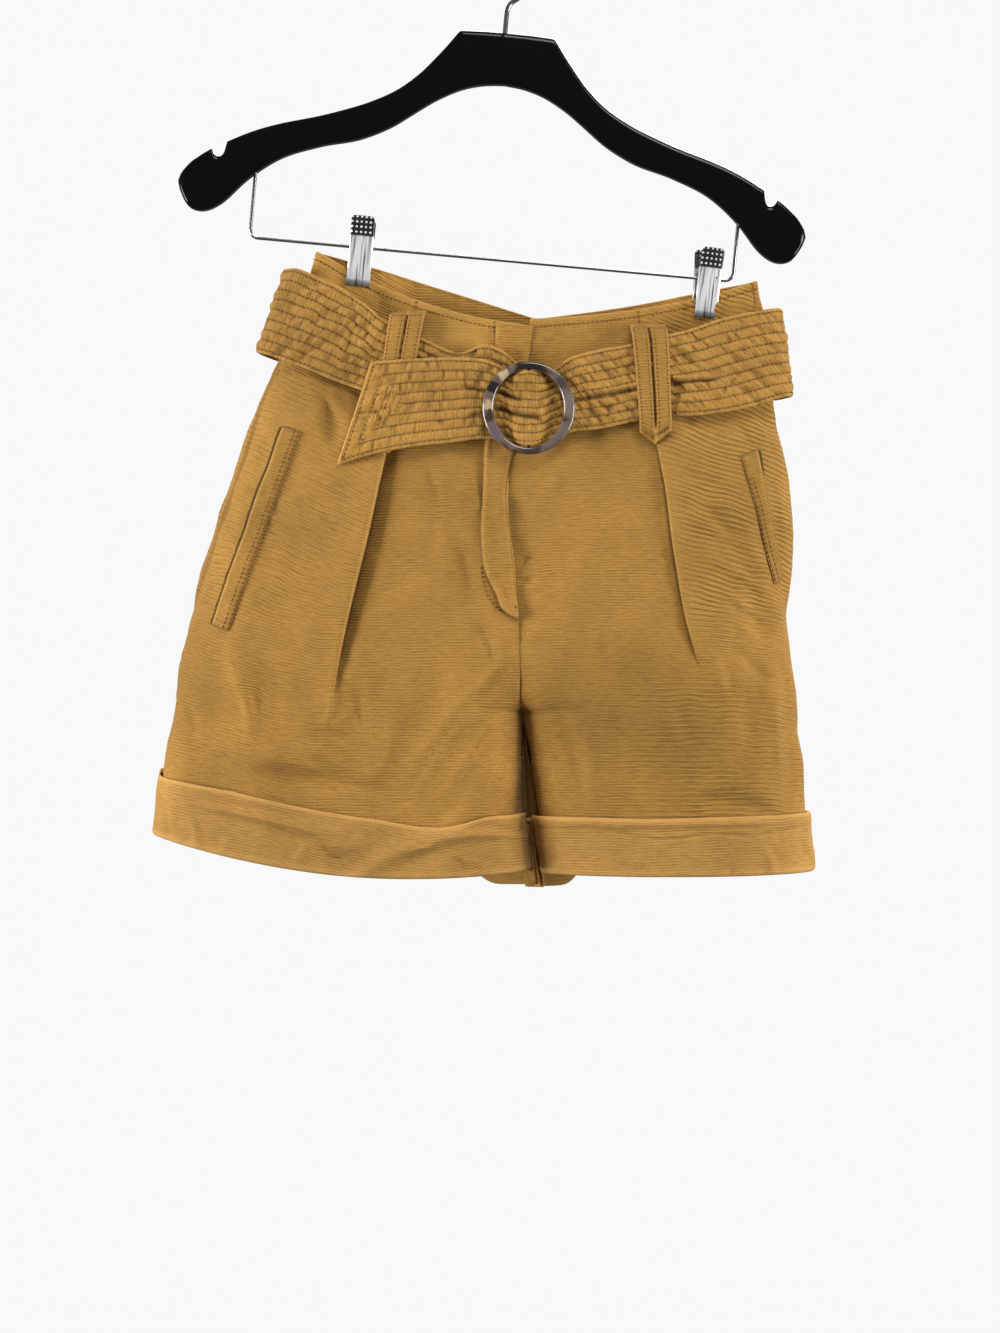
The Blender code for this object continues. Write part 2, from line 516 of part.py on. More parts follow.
def pocket_welt(side, look):
    """The stitched welt of a slanted front pocket."""
    outer_top, inner_top, outer_low, inner_low = (np.array(corner) for corner in WELTS[side])
    down = np.linspace(0, 1, 16)[:, None, None]
    over = np.linspace(0, 1, 4)[None, :, None]
    top, low = outer_top + (inner_top - outer_top) * over, outer_low + (inner_low - outer_low) * over
    flat = top + (low - top) * down
    x, z = flat[..., 0], flat[..., 1]
    return wall(f"pocket_welt_{side}", lying_on("front", side, x, z, WELT_LIFT + WELT_CLOTH),
                lying_on("front", side, x, z, WELT_LIFT), look)


def belt_loop(part, side, look):
    """A loop sewn to a panel at both ends, over the belt."""
    rows = LOOPS[part, side]
    z_of, over = column(rows, LOOP_COLUMNS, "z"), column(rows, LOOP_COLUMNS, "over")
    left, right = column(rows, LOOP_COLUMNS, "left"), column(rows, LOOP_COLUMNS, "right")
    share = np.array([0, *LOOP_SLIT, 1])
    x = left[:, None] + (right - left)[:, None] * share
    z = np.repeat(z_of[:, None], 4, axis=1)
    z[-1, 1:3] -= LOOP_TIP
    facing = -1 if part == "front" else 1

    def sheet(thick):
        points = lying_on(part, side, x, z, LOOP_LIFT + thick)
        points[..., 1] = facing * np.maximum(facing * points[..., 1], over[:, None] + thick)
        return points

    name = f"belt_loop_{side}" if part == "front" else f"belt_loop_back_{side}"
    slit = {(1, row) for row in range(1, len(rows) - 2)}
    return wall(name, sheet(LOOP_CLOTH), sheet(0), look, holes=slit)


def belt_sheet(rows, u, v):
    """Points of a belt's inner face: u runs along its stations and v from its upper to its lower edge."""
    at = np.arange(len(rows), dtype=float)
    edges = [smooth(u, at, column(rows, BELT_COLUMNS, name)) for name in BELT_COLUMNS]
    top, low = np.stack(edges[:3], axis=-1), np.stack(edges[3:], axis=-1)
    return top + (low - top) * np.asarray(v)[..., None]


def belt_out(rows, u, v):
    last = len(rows) - 1
    along = belt_sheet(rows, np.minimum(u + 0.05, last), v) - belt_sheet(rows, np.maximum(u - 0.05, 0), v)
    across = belt_sheet(rows, u, np.ones_like(v)) - belt_sheet(rows, u, np.zeros_like(v))
    out = np.cross(along, across)
    return out / np.linalg.norm(out, axis=-1, keepdims=True)


def belt(name, rows, facing, stations, look):
    """A stretch of the belt: swollen between its stitch lines outside, plain inside."""
    lines = 2 * (QUILT_ROWS + 1)
    v = np.linspace(0, 1, lines + 1)
    rise = np.where(np.arange(lines + 1) % 2, QUILT_RISE, 0.0)
    rise[0] = rise[-1] = QUILT_EDGE
    rings = []
    for u in np.linspace(0, len(rows) - 1, stations):
        us = np.full_like(v, u)
        out = belt_out(rows, us, v) * facing
        face = belt_sheet(rows, us, v)
        outer = face + out * (BELT_CLOTH + rise)[:, None]
        ends = face[[-1, 0]]
        rings.append(np.concatenate([outer, ends]))
    return loft(name, np.array(rings), look)


# --------------------------------------------------------------------------------------------------------------------
# The buckle and the hanger
def buckle(look):
    """A ring of resin with a bar down its middle."""
    x0, z0 = RING_CENTRE
    corners = len(RING_PROFILE)
    bm = bmesh.new()
    bmesh.ops.create_grid(bm, x_segments=corners, y_segments=RING_STEPS, size=1)
    for vert in bm.verts:
        i, j = grid_place(vert, corners + 1, RING_STEPS + 1)
        share, deep = RING_PROFILE[i % corners]
        angle = 2 * math.pi * (j % RING_STEPS) / RING_STEPS
        inner = Vector((RING_INNER[0] * math.cos(angle), RING_INNER[1] * math.sin(angle)))
        outer = Vector((RING_OUTER * math.cos(angle), RING_OUTER * math.sin(angle)))
        at = inner.lerp(outer, share)
        vert.co = Vector((x0 + at.x, RING_BACK - RING_THICK * deep, z0 + at.y)) * MM
    bmesh.ops.remove_doubles(bm, verts=bm.verts, dist=1e-6)
    ring = new_object("buckle_ring", bm, look)
    bar = bmesh.new()
    reach = RING_INNER[1] + RING_BAR_BITE
    bmesh.ops.create_cone(bar, cap_ends=True, segments=10, radius1=RING_BAR * MM, radius2=RING_BAR * MM,
                          depth=2 * reach * MM, matrix=Matrix.Translation(Vector((x0, RING_BAR_Y, z0)) * MM))
    cut(ring, new_object("bar_helper", bar, look), "UNION")
    return ring


def hanger_section(x, top, low, half):
    """A ring of the hanger's arm: a flat face front and back, with chamfered edges."""
    edge = min(HANGER_EDGE, half / 2, (top - low) / 3)
    return [(x, -half, top - edge), (x, -half + edge, top), (x, half - edge, top), (x, half, top - edge),
            (x, half, low + edge), (x, half - edge, low), (x, -half + edge, low), (x, -half, low + edge)]


def hanger(look):
    half = HANGER_THICK / 2
    xs = column(HANGER_ROWS, HANGER_COLUMNS, "x")
    tops, lows = column(HANGER_ROWS, HANGER_COLUMNS, "top"), column(HANGER_ROWS, HANGER_COLUMNS, "low")
    arm = [hanger_section(x, top, low, half) for x, top, low in zip(xs, tops, lows)]
    arm.append(hanger_section(*HANGER_END, HANGER_END_THICK / 2))
    other = [[(-x, y, z) for x, y, z in ring] for ring in arm[:0:-1]]
    rings = np.array(other + arm) + np.array([HANGER_X, 0, 0])
    obj = loft("hanger", rings, look)
    for sign in (-1, 1):
        bm = bmesh.new()
        bmesh.ops.create_cone(bm, cap_ends=True, segments=16, radius1=NOTCH_RADIUS * MM, radius2=NOTCH_RADIUS * MM,
                              depth=3 * HANGER_THICK * MM, matrix=Matrix.Rotation(math.pi / 2, 4, "X"))
        for vert in bm.verts:
            if vert.co.z > MM:
                vert.co.z += NOTCH_RUN * MM
                vert.co.x *= NOTCH_FLARE
        bmesh.ops.translate(bm, verts=bm.verts, vec=Vector((HANGER_X + sign * NOTCH[0], 0, NOTCH[1])) * MM)
        helper = new_object(f"notch_helper_{'a' if sign < 0 else 'b'}", bm, look)
        cut(obj, helper)
        rolled(helper)
    return rolled(obj)


def hook(look):
    """A question mark of wire, with the rod's seat at the origin and its mouth on the wearer's right."""
    radius = HOOK_INNER + HOOK_WIRE
    bow = [(radius * math.cos(a), 0, radius * math.sin(a) - HOOK_INNER)
           for a in np.radians(np.linspace(HOOK_TIP, HOOK_LEAVES, 24))]
    neck = [(x, 0, z) for x, z in HOOK_NECK] + [(0, 0, HANGER_ROWS[0][1] + SEAM_GAP)]
    return rolled(wire("hook", bow + neck, HOOK_WIRE, look))


def bar_top(x):
    """Height of a riser's end, under the hanger's lower edge."""
    xs, lows = column(HANGER_ROWS, HANGER_COLUMNS, "x"), column(HANGER_ROWS, HANGER_COLUMNS, "low")
    return float(smooth(abs(x - HANGER_X), xs, lows)) - BAR_SHORT


def clip_bar(look):
    left, right = BAR_X
    points = [(left, 0, bar_top(left))]
    for corner_x, start, finish in ((left + BAR_BEND, 180, 270), (right - BAR_BEND, 270, 360)):
        points += [(corner_x + BAR_BEND * math.cos(a), 0, BAR_Z + BAR_BEND + BAR_BEND * math.sin(a))
                   for a in np.radians(np.linspace(start, finish, 5))]
    points.append((right, 0, bar_top(right)))
    return rolled(wire("clip_bar", points, BAR_WIRE, look))


def leaf(bm, sign):
    """One leaf of a clip, as a bent plate across its width."""
    z_of, away = column(CLIP_ROWS, CLIP_COLUMNS, "z"), column(CLIP_ROWS, CLIP_COLUMNS, "away")
    inner = [(sign * y, z) for z, y in zip(z_of, away)]
    outer = [(sign * (y + CLIP_LEAF), z) for z, y in zip(z_of[::-1], away[::-1])]
    face = bm.faces.new([bm.verts.new(Vector((-CLIP_WIDTH / 2, y, z)) * MM) for y, z in inner + outer])
    moved = bmesh.ops.extrude_face_region(bm, geom=[face])["geom"]
    far_side = [item for item in moved if isinstance(item, bmesh.types.BMVert)]
    bmesh.ops.translate(bm, verts=far_side, vec=Vector((CLIP_WIDTH * MM, 0, 0)))
    bmesh.ops.recalc_face_normals(bm, faces=bm.faces)


def barrel(name, radius, length, look):
    across = Matrix.Translation(Vector((0, 0, BAR_Z)) * MM) @ Matrix.Rotation(math.pi / 2, 4, "Y")
    bm = bmesh.new()
    bmesh.ops.create_cone(bm, cap_ends=True, segments=16, radius1=radius * MM, radius2=radius * MM,
                          depth=length * MM, matrix=across)
    return new_object(name, bm, look)


def clip(name, x, look):
    """A spring clip: two leaves on a barrel round the bar, closed on the waist."""
    bm = bmesh.new()
    leaf(bm, -1)
    obj = new_object(name, bm, look)
    other = bmesh.new()
    leaf(other, 1)
    helpers = [(new_object(f"{name}_leaf_helper", other, look), "UNION"),
               (barrel(f"{name}_barrel_helper", BARREL_RADIUS, CLIP_WIDTH - BARREL_SHORT, look), "UNION"),
               (barrel(f"{name}_hole_helper", BAR_WIRE + SEAM_GAP, 2 * CLIP_WIDTH, look), "DIFFERENCE")]
    on_bar = Matrix.Rotation(ROLL, 4, "Y") @ Matrix.Translation(Vector((x, 0, 0)) * MM)
    for helper, operation in helpers:
        cut(obj, helper, operation)
        helper.matrix_world = on_bar
    obj.matrix_world = on_bar
    return obj


def main():
    clear_scene()
    cotton = material("cotton", (0.43, 0.22, 0.055), 0.9)
    belt_cotton = material("quilted_cotton", (0.40, 0.20, 0.05), 0.9)
    resin = material("horn_resin", (0.10, 0.07, 0.05), 0.25)
    black = material("black_plastic", (0.012, 0.012, 0.012), 0.2)
    chrome = material("chrome", (0.75, 0.75, 0.76), 0.15, 1.0)
    for side in ("right", "left"):
        for part in ("front", "back"):
            panel(side, part, cotton)
            cuff(side, part, cotton)
        pocket_welt(side, cotton)
    fly(cotton)
    for part, side in LOOPS:
        belt_loop(part, side, cotton)
    belt("belt_right", BELT_RIGHT, -1, 26, belt_cotton)
    belt("belt_left", BELT_LEFT, 1, 46, belt_cotton)
    belt("belt_back", BELT_BACK, -1, 28, belt_cotton)
    buckle(resin)
    hanger(black)
    hook(chrome)
    clip_bar(chrome)
    clip("clip_right", CLIP_X[0], chrome)
    clip("clip_left", CLIP_X[1], chrome)


main()
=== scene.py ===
"""The looks of high-waist shorts with turned-up cuffs and a quilted belt, hung by two clips from a hanger.

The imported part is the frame: every piece here stands for one or more of its nodes, in the same place.
Metres, +Z up, the front of the shorts towards -Y, and the origin at the seat of the hanger's hook. Sizes in
the tables are in millimetres. Left and right are the wearer's, so the right leg is on the -X side.

A leg is a stack of rows: t runs from the top edge (0) past the top of the cuff (1) to the hem's fold (HEM).
Around a row, q runs from -1 (centre back) through 0 (the outermost point of the side) to 1 (centre front).
"""
import math

import bmesh
import bpy
import numpy as np
from mathutils import Matrix, Vector


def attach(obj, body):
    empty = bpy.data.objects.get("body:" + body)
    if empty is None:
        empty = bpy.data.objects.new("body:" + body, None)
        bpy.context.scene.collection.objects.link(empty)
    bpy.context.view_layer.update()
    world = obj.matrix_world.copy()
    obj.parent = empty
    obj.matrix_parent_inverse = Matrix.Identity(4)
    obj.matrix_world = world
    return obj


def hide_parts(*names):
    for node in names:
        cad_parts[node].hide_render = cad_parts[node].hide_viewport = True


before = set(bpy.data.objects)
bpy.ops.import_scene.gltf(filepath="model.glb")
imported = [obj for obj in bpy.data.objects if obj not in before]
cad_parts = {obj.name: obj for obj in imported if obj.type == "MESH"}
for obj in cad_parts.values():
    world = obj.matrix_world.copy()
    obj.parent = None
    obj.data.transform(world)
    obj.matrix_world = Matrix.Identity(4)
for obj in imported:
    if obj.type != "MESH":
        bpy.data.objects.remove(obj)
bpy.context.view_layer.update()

MM = 0.001
ROLL = math.radians(5.2)      # the hanger's tilt, its +X end lower
SEAM_GAP = 0.3                # between sewn pieces, and between a piece and what it lies on
CLOTH = 1.5                   # thickness of the cotton with its seam allowances
HEM = 1.12                    # t of the fold under the cuff
CROTCH = 0.785                # t where the two legs part
CROTCH_CURVE = 36.0           # how far above that the rise seam starts to turn under
RISE_LENGTH = 345.0           # length of the centre line for t from 0 to 1

# --------------------------------------
# The legs. side and centre are where a row begins and ends, front and back its depth from the middle plane,
# round the width of its rounded ends, turn how far the side is turned to the back, and seam the q of its
# side seam.
LEG_COLUMNS = ("t", "side_x", "side_z", "centre_x", "centre_z", "sag", "front", "back", "round", "turn",
               "seam")
RIGHT_ROWS = (
    (0.00, -138, -216.0, 15.8, -269, -11, 9.0, 9, 26, 0, 0.00),
    (0.12, -153, -259.0, 8.6, -313, -8, 13.0, 12, 30, 0, 0.00),
    (0.25, -171, -308.0, -0.5, -359, -6, 17.5, 16, 34, 0, 0.03),
    (0.38, -189, -353.0, -3.3, -398, -5, 21.5, 20, 38, 0, 0.09),
    (0.50, -205, -396.0, 0.8, -437, -5, 24.5, 23, 42, 0, 0.10),
    (0.65, -222, -452.0, 4.6, -489, -6, 27.0, 26, 46, 0, 0.07),
    (0.80, -234, -511.0, 6.0, -543, -8, 29.0, 28, 50, 0, 0.02),
    (1.00, -246, -584.0, 3.5, -612, -12, 30.0, 30, 52, 0, 0.00),
    (1.12, -252, -626.0, 9.5, -651, -14, 31.0, 31, 54, 0, 0.00),
)
LEFT_ROWS = (
    (0.00, 172, -236.5, 17.0, -264, -6, 9.0, 9, 30, 0, 0.10),
    (0.12, 179, -282.0, 9.0, -312, -3, 13.0, 12, 34, 0, 0.08),
    (0.25, 184, -330.0, -0.3, -359, 0, 18.0, 18, 42, 2, 0.00),
    (0.38, 195, -379.0, -3.1, -398, 0, 24.0, 25, 50, 4, -0.10),
    (0.50, 196, -425.0, 1.0, -437, 0, 29.0, 31, 56, 7, -0.17),
    (0.65, 194, -482.0, 4.9, -489, 0, 34.0, 37, 62, 11, -0.23),
    (0.80, 202, -540.0, 7.5, -543, 0, 38.0, 42, 68, 15, -0.27),
    (1.00, 208, -612.0, 16.5, -612, 0, 42.0, 46, 72, 20, -0.30),
    (1.12, 213, -653.0, 21.0, -653, 0, 44.0, 48, 74, 22, -0.30),
)
# Depth of the centre seam, which both legs share.
CENTRE_COLUMNS = ("t", "front", "back")
CENTRE_ROWS = (
    (0.00, 9, 9), (0.12, 14, 12), (0.25, 18, 17), (0.38, 21, 21), (0.50, 24, 24), (0.65, 27, 27),
    (0.80, 29, 29), (1.12, 33, 33),
)
CENTRE_FROM = 0.4             # share of a row's width past which the depth nears the centre's
BELLY = 0.12                  # how much deeper a row is in its middle
# The back stands higher than the front at the top edge, at mid row and at the centre.
BACK_RISE = {"right": (12, 7), "left": (4, 2)}
BACK_RISE_ENDS = 0.30
# The back of each hem hangs lower beside the inseam, at this share of the width.
INSEAM_DROOP, DROOP_AT, DROOP_WIDTH = 11.0, 0.958, 0.085
DROOP_T = (0.90, 1.05)
PLACE_STEPS, LEAST_W = 40, 0.002    # steps of the search for a panel's point, and the least w it returns
NEAR_Q, NEAR_T, NEAR_U = 0.01, 0.004, 0.05      # steps to a neighbour, for the cloth's direction
FLY_STEP = 1.3                # the left front lies this much under the right one at the fly
FLY_STEP_NEAR = (14.0, 6.0)   # distance from the centre line where that begins, and where it is complete
FLY_STEP_T = (0.66, 0.60)
# The clips pinch front and back together here.
PINCH_X = (-107.5, 136.0)
PINCH_WIDTH, PINCH_T, PINCH_FIRM = 30.0, 0.16, 1.3
PINCHED = CLOTH + 0.4         # depth of the cloth in a clip
# Pleats: w is the share of a row's width from the side, and height how far the side part stands over the
# centre part.
PLEAT_COLUMNS = ("t", "w", "height")
RIGHT_PLEAT = (
    (0.00, 0.460, 0.3), (0.20, 0.500, 0.8), (0.30, 0.515, 3.0), (0.38, 0.515, 5.0), (0.50, 0.500, 6.0),
    (0.60, 0.482, 5.0), (0.70, 0.465, 3.2), (0.77, 0.456, 1.3), (0.82, 0.453, 0.0), (0.84, 0.452, 0.0),
    (0.90, 0.451, 0.0), (1.12, 0.450, 0.0),
)
LEFT_PLEAT = (
    (0.00, 0.545, 0.3), (0.16, 0.495, 0.6), (0.27, 0.461, 2.0), (0.36, 0.450, 3.0), (0.48, 0.439, 3.2),
    (0.60, 0.403, 2.6), (0.68, 0.368, 1.9), (0.715, 0.353, 0.0), (0.73, 0.350, 0.0), (0.80, 0.344, 0.0),
    (1.12, 0.330, 0.0),
)
PLEAT_EDGE = 1.5              # half the width of the step
PLEAT_SPREAD = (40.0, 22.0)   # how far the raised and the sunk side fade out
PLEAT_SINK = 0.3              # the sunk side's share of the height
# Broad folds of the cloth: w and t of the middle, size across and along, run sideways for each mm down,
# and height.
FOLD_SIDE_FADE = 20.0         # width of the side's rounding that they leave alone
FRONT_FOLDS = {
    "right": ((0.20, 0.80, 14, 110, 0.25, 2.5), (0.62, 0.86, 16, 80, -0.35, 2.6),
              (0.85, 0.62, 10, 60, -0.2, 1.8),
              (0.72, 0.45, 10, 50, 0.3, -2.0), (0.90, 0.97, 16, 30, -0.6, 3.0)),
    "left": ((0.16, 0.50, 9, 60, -0.5, 2.4), (0.28, 0.42, 8, 55, -0.6, -2.0),
             (0.12, 0.78, 10, 70, 0.3, 2.6), (0.55, 0.80, 16, 90, 0.2, 2.2), (0.80, 0.55, 12, 70, 0.25, 1.8)),
}
BACK_FOLDS = {
    "right": ((0.35, 0.70, 16, 110, 0.2, 2.6), (0.75, 0.85, 14, 70, -0.3, 2.6),
              (0.55, 0.45, 12, 60, 0.35, -2.0)),
    "left": ((0.40, 0.72, 16, 110, -0.2, 2.8), (0.75, 0.85, 14, 70, 0.3, 2.4),
             (0.60, 0.45, 12, 60, -0.35, -2.0)),
}
CUFF_CLOTH = 2.2
CUFF_STAND = 1.6              # the cuff's free top edge stands this much off the leg

# --------------------------------------
# Pieces that lie on the fronts, by their outline seen from the front.
FLY_COLUMNS = ("z", "raised_x", "edge_x")
FLY_ROWS = (
    (-270, -12.6, 14.6), (-300, -14.6, 10.8), (-354, -20.4, 0.2), (-389, -21.8, -4.6), (-419, -23.0, -1.8),
    (-443, -19.7, 0.7), (-458, -12.5, 2.6), (-470, -6.5, 4.2), (-475.5, 1.8, 4.6),
)
# Corners of a pocket's welt as (x, z): outer top, inner top, outer low, inner low.
WELTS = {"right": ((-162.0, -340.7), (-147.1, -344.3), (-209.8, -478.7), (-196.4, -484.4)),
         "left": ((171.5, -356.8), (157.9, -361.2), (189.0, -446.0), (181.5, -451.5))}
WELT_LIFT = 0.7
# Belt loops: a strip folded at a mitred point, so two strips lie side by side. left and right are its outer
# edges, and over is the depth of its inner face where it passes over the belt.
LOOP_COLUMNS = ("z", "left", "right", "over")
LOOPS = {
    ("front", "right"): (
        (-259.5, -85.2, -60.4, 0), (-262.5, -85.6, -61.0, 15), (-266.5, -86.2, -61.8, 19.4),
        (-296, -90.5, -67.0, 21.0), (-318, -93.5, -70.5, 22.4), (-334, -95.8, -73.4, 23.4),
        (-343, -96.8, -74.8, 23.6), (-351, -97.8, -76.2, 0),
    ),
    ("front", "left"): (
        (-268.5, 81.4, 106.4, 0), (-273.0, 81.9, 106.8, 16), (-278, 82.5, 107.1, 21.6),
        (-298, 84.4, 108.2, 22.8), (-318, 86.0, 109.0, 24.2), (-333, 87.2, 109.6, 25.2),
        (-340, 87.6, 109.8, 25.2), (-345, 87.9, 110.0, 0),
    ),
    ("back", "right"): (
        (-250, -72, -49, 0), (-254, -72, -49, 16), (-258, -72, -49, 20.4), (-280, -72, -49, 21.2),
        (-300, -72, -49, 22.6), (-318, -72, -49, 23.8), (-326, -72, -49, 24.0), (-334, -72, -49, 0),
    ),
    ("back", "left"): (
        (-258, 66, 89, 0), (-262, 66, 89, 16), (-266, 66, 89, 20.4), (-286, 66, 89, 21.2),
        (-306, 66, 89, 22.8), (-324, 66, 89, 24.2), (-332, 66, 89, 24.4), (-340, 66, 89, 0),
    ),
}
LOOP_CLOTH = 1.5
LOOP_TIP = 9.0                # how far the point reaches below the loop's sides
LOOP_LIFT = 1.9               # its ends' distance from the panel

# --------------------------------------
# The belt: its upper and lower edge station by station. y is the depth of its inner face.
BELT_COLUMNS = ("top_x", "top_y", "top_z", "low_x", "low_y", "low_z")
BELT_RIGHT = (                # from the fold at the wearer's right side to the buckle's bar
    (-159.8, 0.0, -228.8, -177.8, 0.0, -288.0), (-156.5, -6.5, -229.0, -175.0, -7.0, -289.0),
    (-146.5, -10.8, -231.0, -166.0, -11.8, -292.0), (-117.0, -13.6, -245.5, -146.0, -16.0, -300.0),
    (-101.0, -14.8, -257.0, -124.0, -17.2, -309.0), (-88.0, -15.6, -267.0, -106.0, -18.2, -316.0),
    (-63.5, -16.2, -279.0, -76.0, -18.8, -330.0), (-38.5, -16.6, -289.0, -47.0, -19.0, -338.0),
    (-22.0, -17.0, -284.0, -26.0, -19.0, -341.0), (-9.0, -17.4, -287.0, -10.0, -19.2, -340.0),
    (6.0, -18.4, -300.0, 6.0, -19.6, -336.0),
)
BELT_LEFT = (                 # from the fold at the wearer's left side through the buckle to the pointed end
    (187.3, 0.0, -256.3, 195.0, 0.0, -318.2), (184.5, -6.5, -256.8, 192.5, -7.0, -318.8),
    (176.0, -11.5, -258.4, 185.0, -12.8, -320.8), (147.0, -15.0, -264.8, 158.0, -18.4, -329.0),
    (125.0, -16.4, -272.3, 133.0, -20.4, -333.0), (105.5, -17.6, -277.4, 110.0, -21.4, -334.4),
    (80.0, -17.8, -283.7, 83.0, -21.6, -338.2), (60.5, -18.4, -287.2, 62.0, -21.6, -342.6),
    (41.0, -22.0, -292.5, 41.0, -22.4, -345.0), (31.0, -22.6, -299.5, 31.0, -22.8, -348.0),
    (23.6, -23.2, -303.0, 23.6, -23.2, -350.0), (17.6, -26.4, -303.6, 17.6, -26.4, -353.6),
    (10.6, -29.2, -303.0, 10.6, -29.2, -354.8), (3.6, -26.4, -303.2, 3.6, -26.4, -353.6),
    (-2.4, -23.3, -302.0, -2.4, -23.3, -350.5), (-12.0, -23.0, -297.5, -12.0, -23.0, -350.0),
    (-24.0, -23.2, -294.0, -24.0, -23.6, -350.0), (-45.0, -23.6, -293.4, -45.0, -25.2, -352.7),
    (-64.0, -24.0, -294.0, -72.0, -26.6, -356.0), (-83.0, -24.2, -295.2, -98.6, -27.4, -361.2),
    (-98.6, -24.0, -296.6, -122.5, -27.6, -368.5),
)
BELT_BACK = (                 # round the back, from the wearer's left side to the right
    (187.3, 0.3, -256.3, 195.0, 0.3, -318.2), (184.5, 6.5, -256.6, 192.5, 7.0, -318.5),
    (176.0, 11.5, -257.5, 185.0, 13.0, -319.5), (150.0, 14.5, -260.0, 158.0, 18.0, -322.0),
    (100.0, 15.5, -264.0, 104.0, 20.5, -326.0), (50.0, 16.0, -267.0, 52.0, 21.0, -329.0),
    (4.0, 16.5, -268.0, 4.0, 21.0, -330.0), (-40.0, 16.0, -263.0, -44.0, 20.0, -325.0),
    (-90.0, 15.0, -252.0, -98.0, 18.0, -313.0), (-130.0, 13.0, -240.0, -142.0, 15.5, -300.0),
    (-148.0, 10.5, -233.0, -166.0, 11.8, -292.0), (-156.5, 6.5, -229.5, -175.0, 7.0, -289.0),
    (-159.8, 0.3, -228.8, -177.8, 0.3, -288.0),
)
BELT = BELT_LEFT[::-1] + BELT_BACK[1:-1] + BELT_RIGHT      # the whole strip, from its pointed end to the bar
BELT_CLOTH = 2.2
QUILT_ROWS = 9                # lines of stitching along the belt
QUILT_FROM = 2.6              # the outer lines' distance from its edges
QUILT_PUFF = 0.75             # how far the cloth swells between them
BELT_STEP = (1.15, 2.4)       # between stations, before and behind
BELT_ROWS = 84

# --------------------------------------
# The buckle: a ring with a middle bar.
RING_CENTRE = (10.6, -329.0)
RING_BACK, RING_THICK = -26.5, 4.4      # depth of its back face, and its thickness
RING_OUTER = 32.2
RING_INNER = (24.3, 27.1)               # half width and half height of the hole
RING_BAR = 1.2                          # radius of the bar
RING_BAR_Y = -27.7
RING_BAR_BITE = 1.5                     # how far the bar runs into the ring

# --------------------------------------
# The hanger, before it is rolled. x is the distance from its middle plane.
HANGER_X = 2.0
HANGER_COLUMNS = ("x", "top", "low")
HANGER_ROWS = (
    (0, -63.0, -99.0), (16, -63.2, -101.0), (33.5, -64.0, -107.0), (39, -72.0, -110.0), (45, -80.0, -113.5),
    (59, -97.5, -123.5), (73, -110.0, -134.0), (95, -121.5, -145.5), (125, -132.5, -154.0),
    (155, -140.8, -167.0), (175, -148.5, -183.5), (190, -157.0, -200.0), (203, -163.5, -206.5),
    (213, -172.0, -204.0), (219, -181.5, -198.0),
)
HANGER_END = (221.5, -187.0, -192.5)
HANGER_THICK = 12.0
HANGER_EDGE = 3.0             # chamfer of its long edges
NOTCH = (194.5, -163.5)       # middle of the strap notch
NOTCH_RADIUS = 4.0
HOOK_WIRE = 1.7               # radius
HOOK_INNER = 18.0
HOOK_LEAVES = -58.0           # angle where the hook's bow turns back to the stem
HOOK_TIP = 200.0              # angle of the hook's end
HOOK_NECK = (
    (5.2, -38.6), (2.0, -41.6), (0.4, -45.5), (0.0, -50.0),
)     # x and z from the bow down
BAR_WIRE = 1.2
BAR_Z = -221.8
BAR_X = (-166.0, 175.5)
BAR_BEND = 6.0
CLIP_X = (-87.0, 157.5)
CLIP_WIDTH = 16.5
CLIP_LEAF = 1.0
SPRING_SHORT = 3.0            # how much shorter than the clip its spring is
SPRING_RADIUS, SPRING_WIRE, SPRING_TURNS, TURN_POINTS = 4.3, 0.75, 7, 20
# Side view of one leaf: height along the clip and distance of its inner face from the middle.
CLIP_COLUMNS = ("z", "away")
CLIP_ROWS = (
    (-200.8, 7.6), (-206.0, 7.4), (-215.0, 5.2), (-228.0, 4.2), (-238.0, 3.6), (-249.6, 2.6),
)


# --------------------------------------
# How finely the cloth is drawn, and how thick it is.
PANEL_ROWS, SIDE_COLUMNS, MIDDLE_COLUMNS, BACK_COLUMNS, CUFF_COLUMNS = 165, 44, 40, 92, 110
PANEL_END = 1.085             # t where a panel ends inside its cuff
PANEL_THICK, CUFF_THICK = 1.0, 1.3
# The pleat's fold, from its raised layer over a round edge and back under: each column's run from the fold,
# the more the higher the pleat stands, and its layer.
FOLD_BASE = np.linspace(-1.6, 1.6, 11)
FOLD_RUN = np.array([-1.3, -0.7, -0.25, 0.08, 0.16, 0.05, -0.28, -0.42, -0.1, 0.5, 1.2])
FOLD_LAYER = np.array([0, 0, 0.03, 0.16, 0.38, 0.6, 0.78, 0.9, 0.98, 1, 1])
PLEAT_HOLLOW = {"right": 0.8, "left": 0.1}       # depth of the hollow beside it, as a share of its height
PLEAT_HOLLOW_WIDTH = 6.5
PLEAT_SHADE = {"right": (0.5, 5.0), "left": (0.5, 1.4)}       # how dark its mouth is, and how wide
SIDE_UNDERLAP, SIDE_UNDERLAP_DEEP = 4.5, 1.7      # how far a back runs on under its front, and how deep
UNDERLAP, UNDERLAP_DEEP = 5.0, 1.2     # the same for the left leg under the right one at the centre
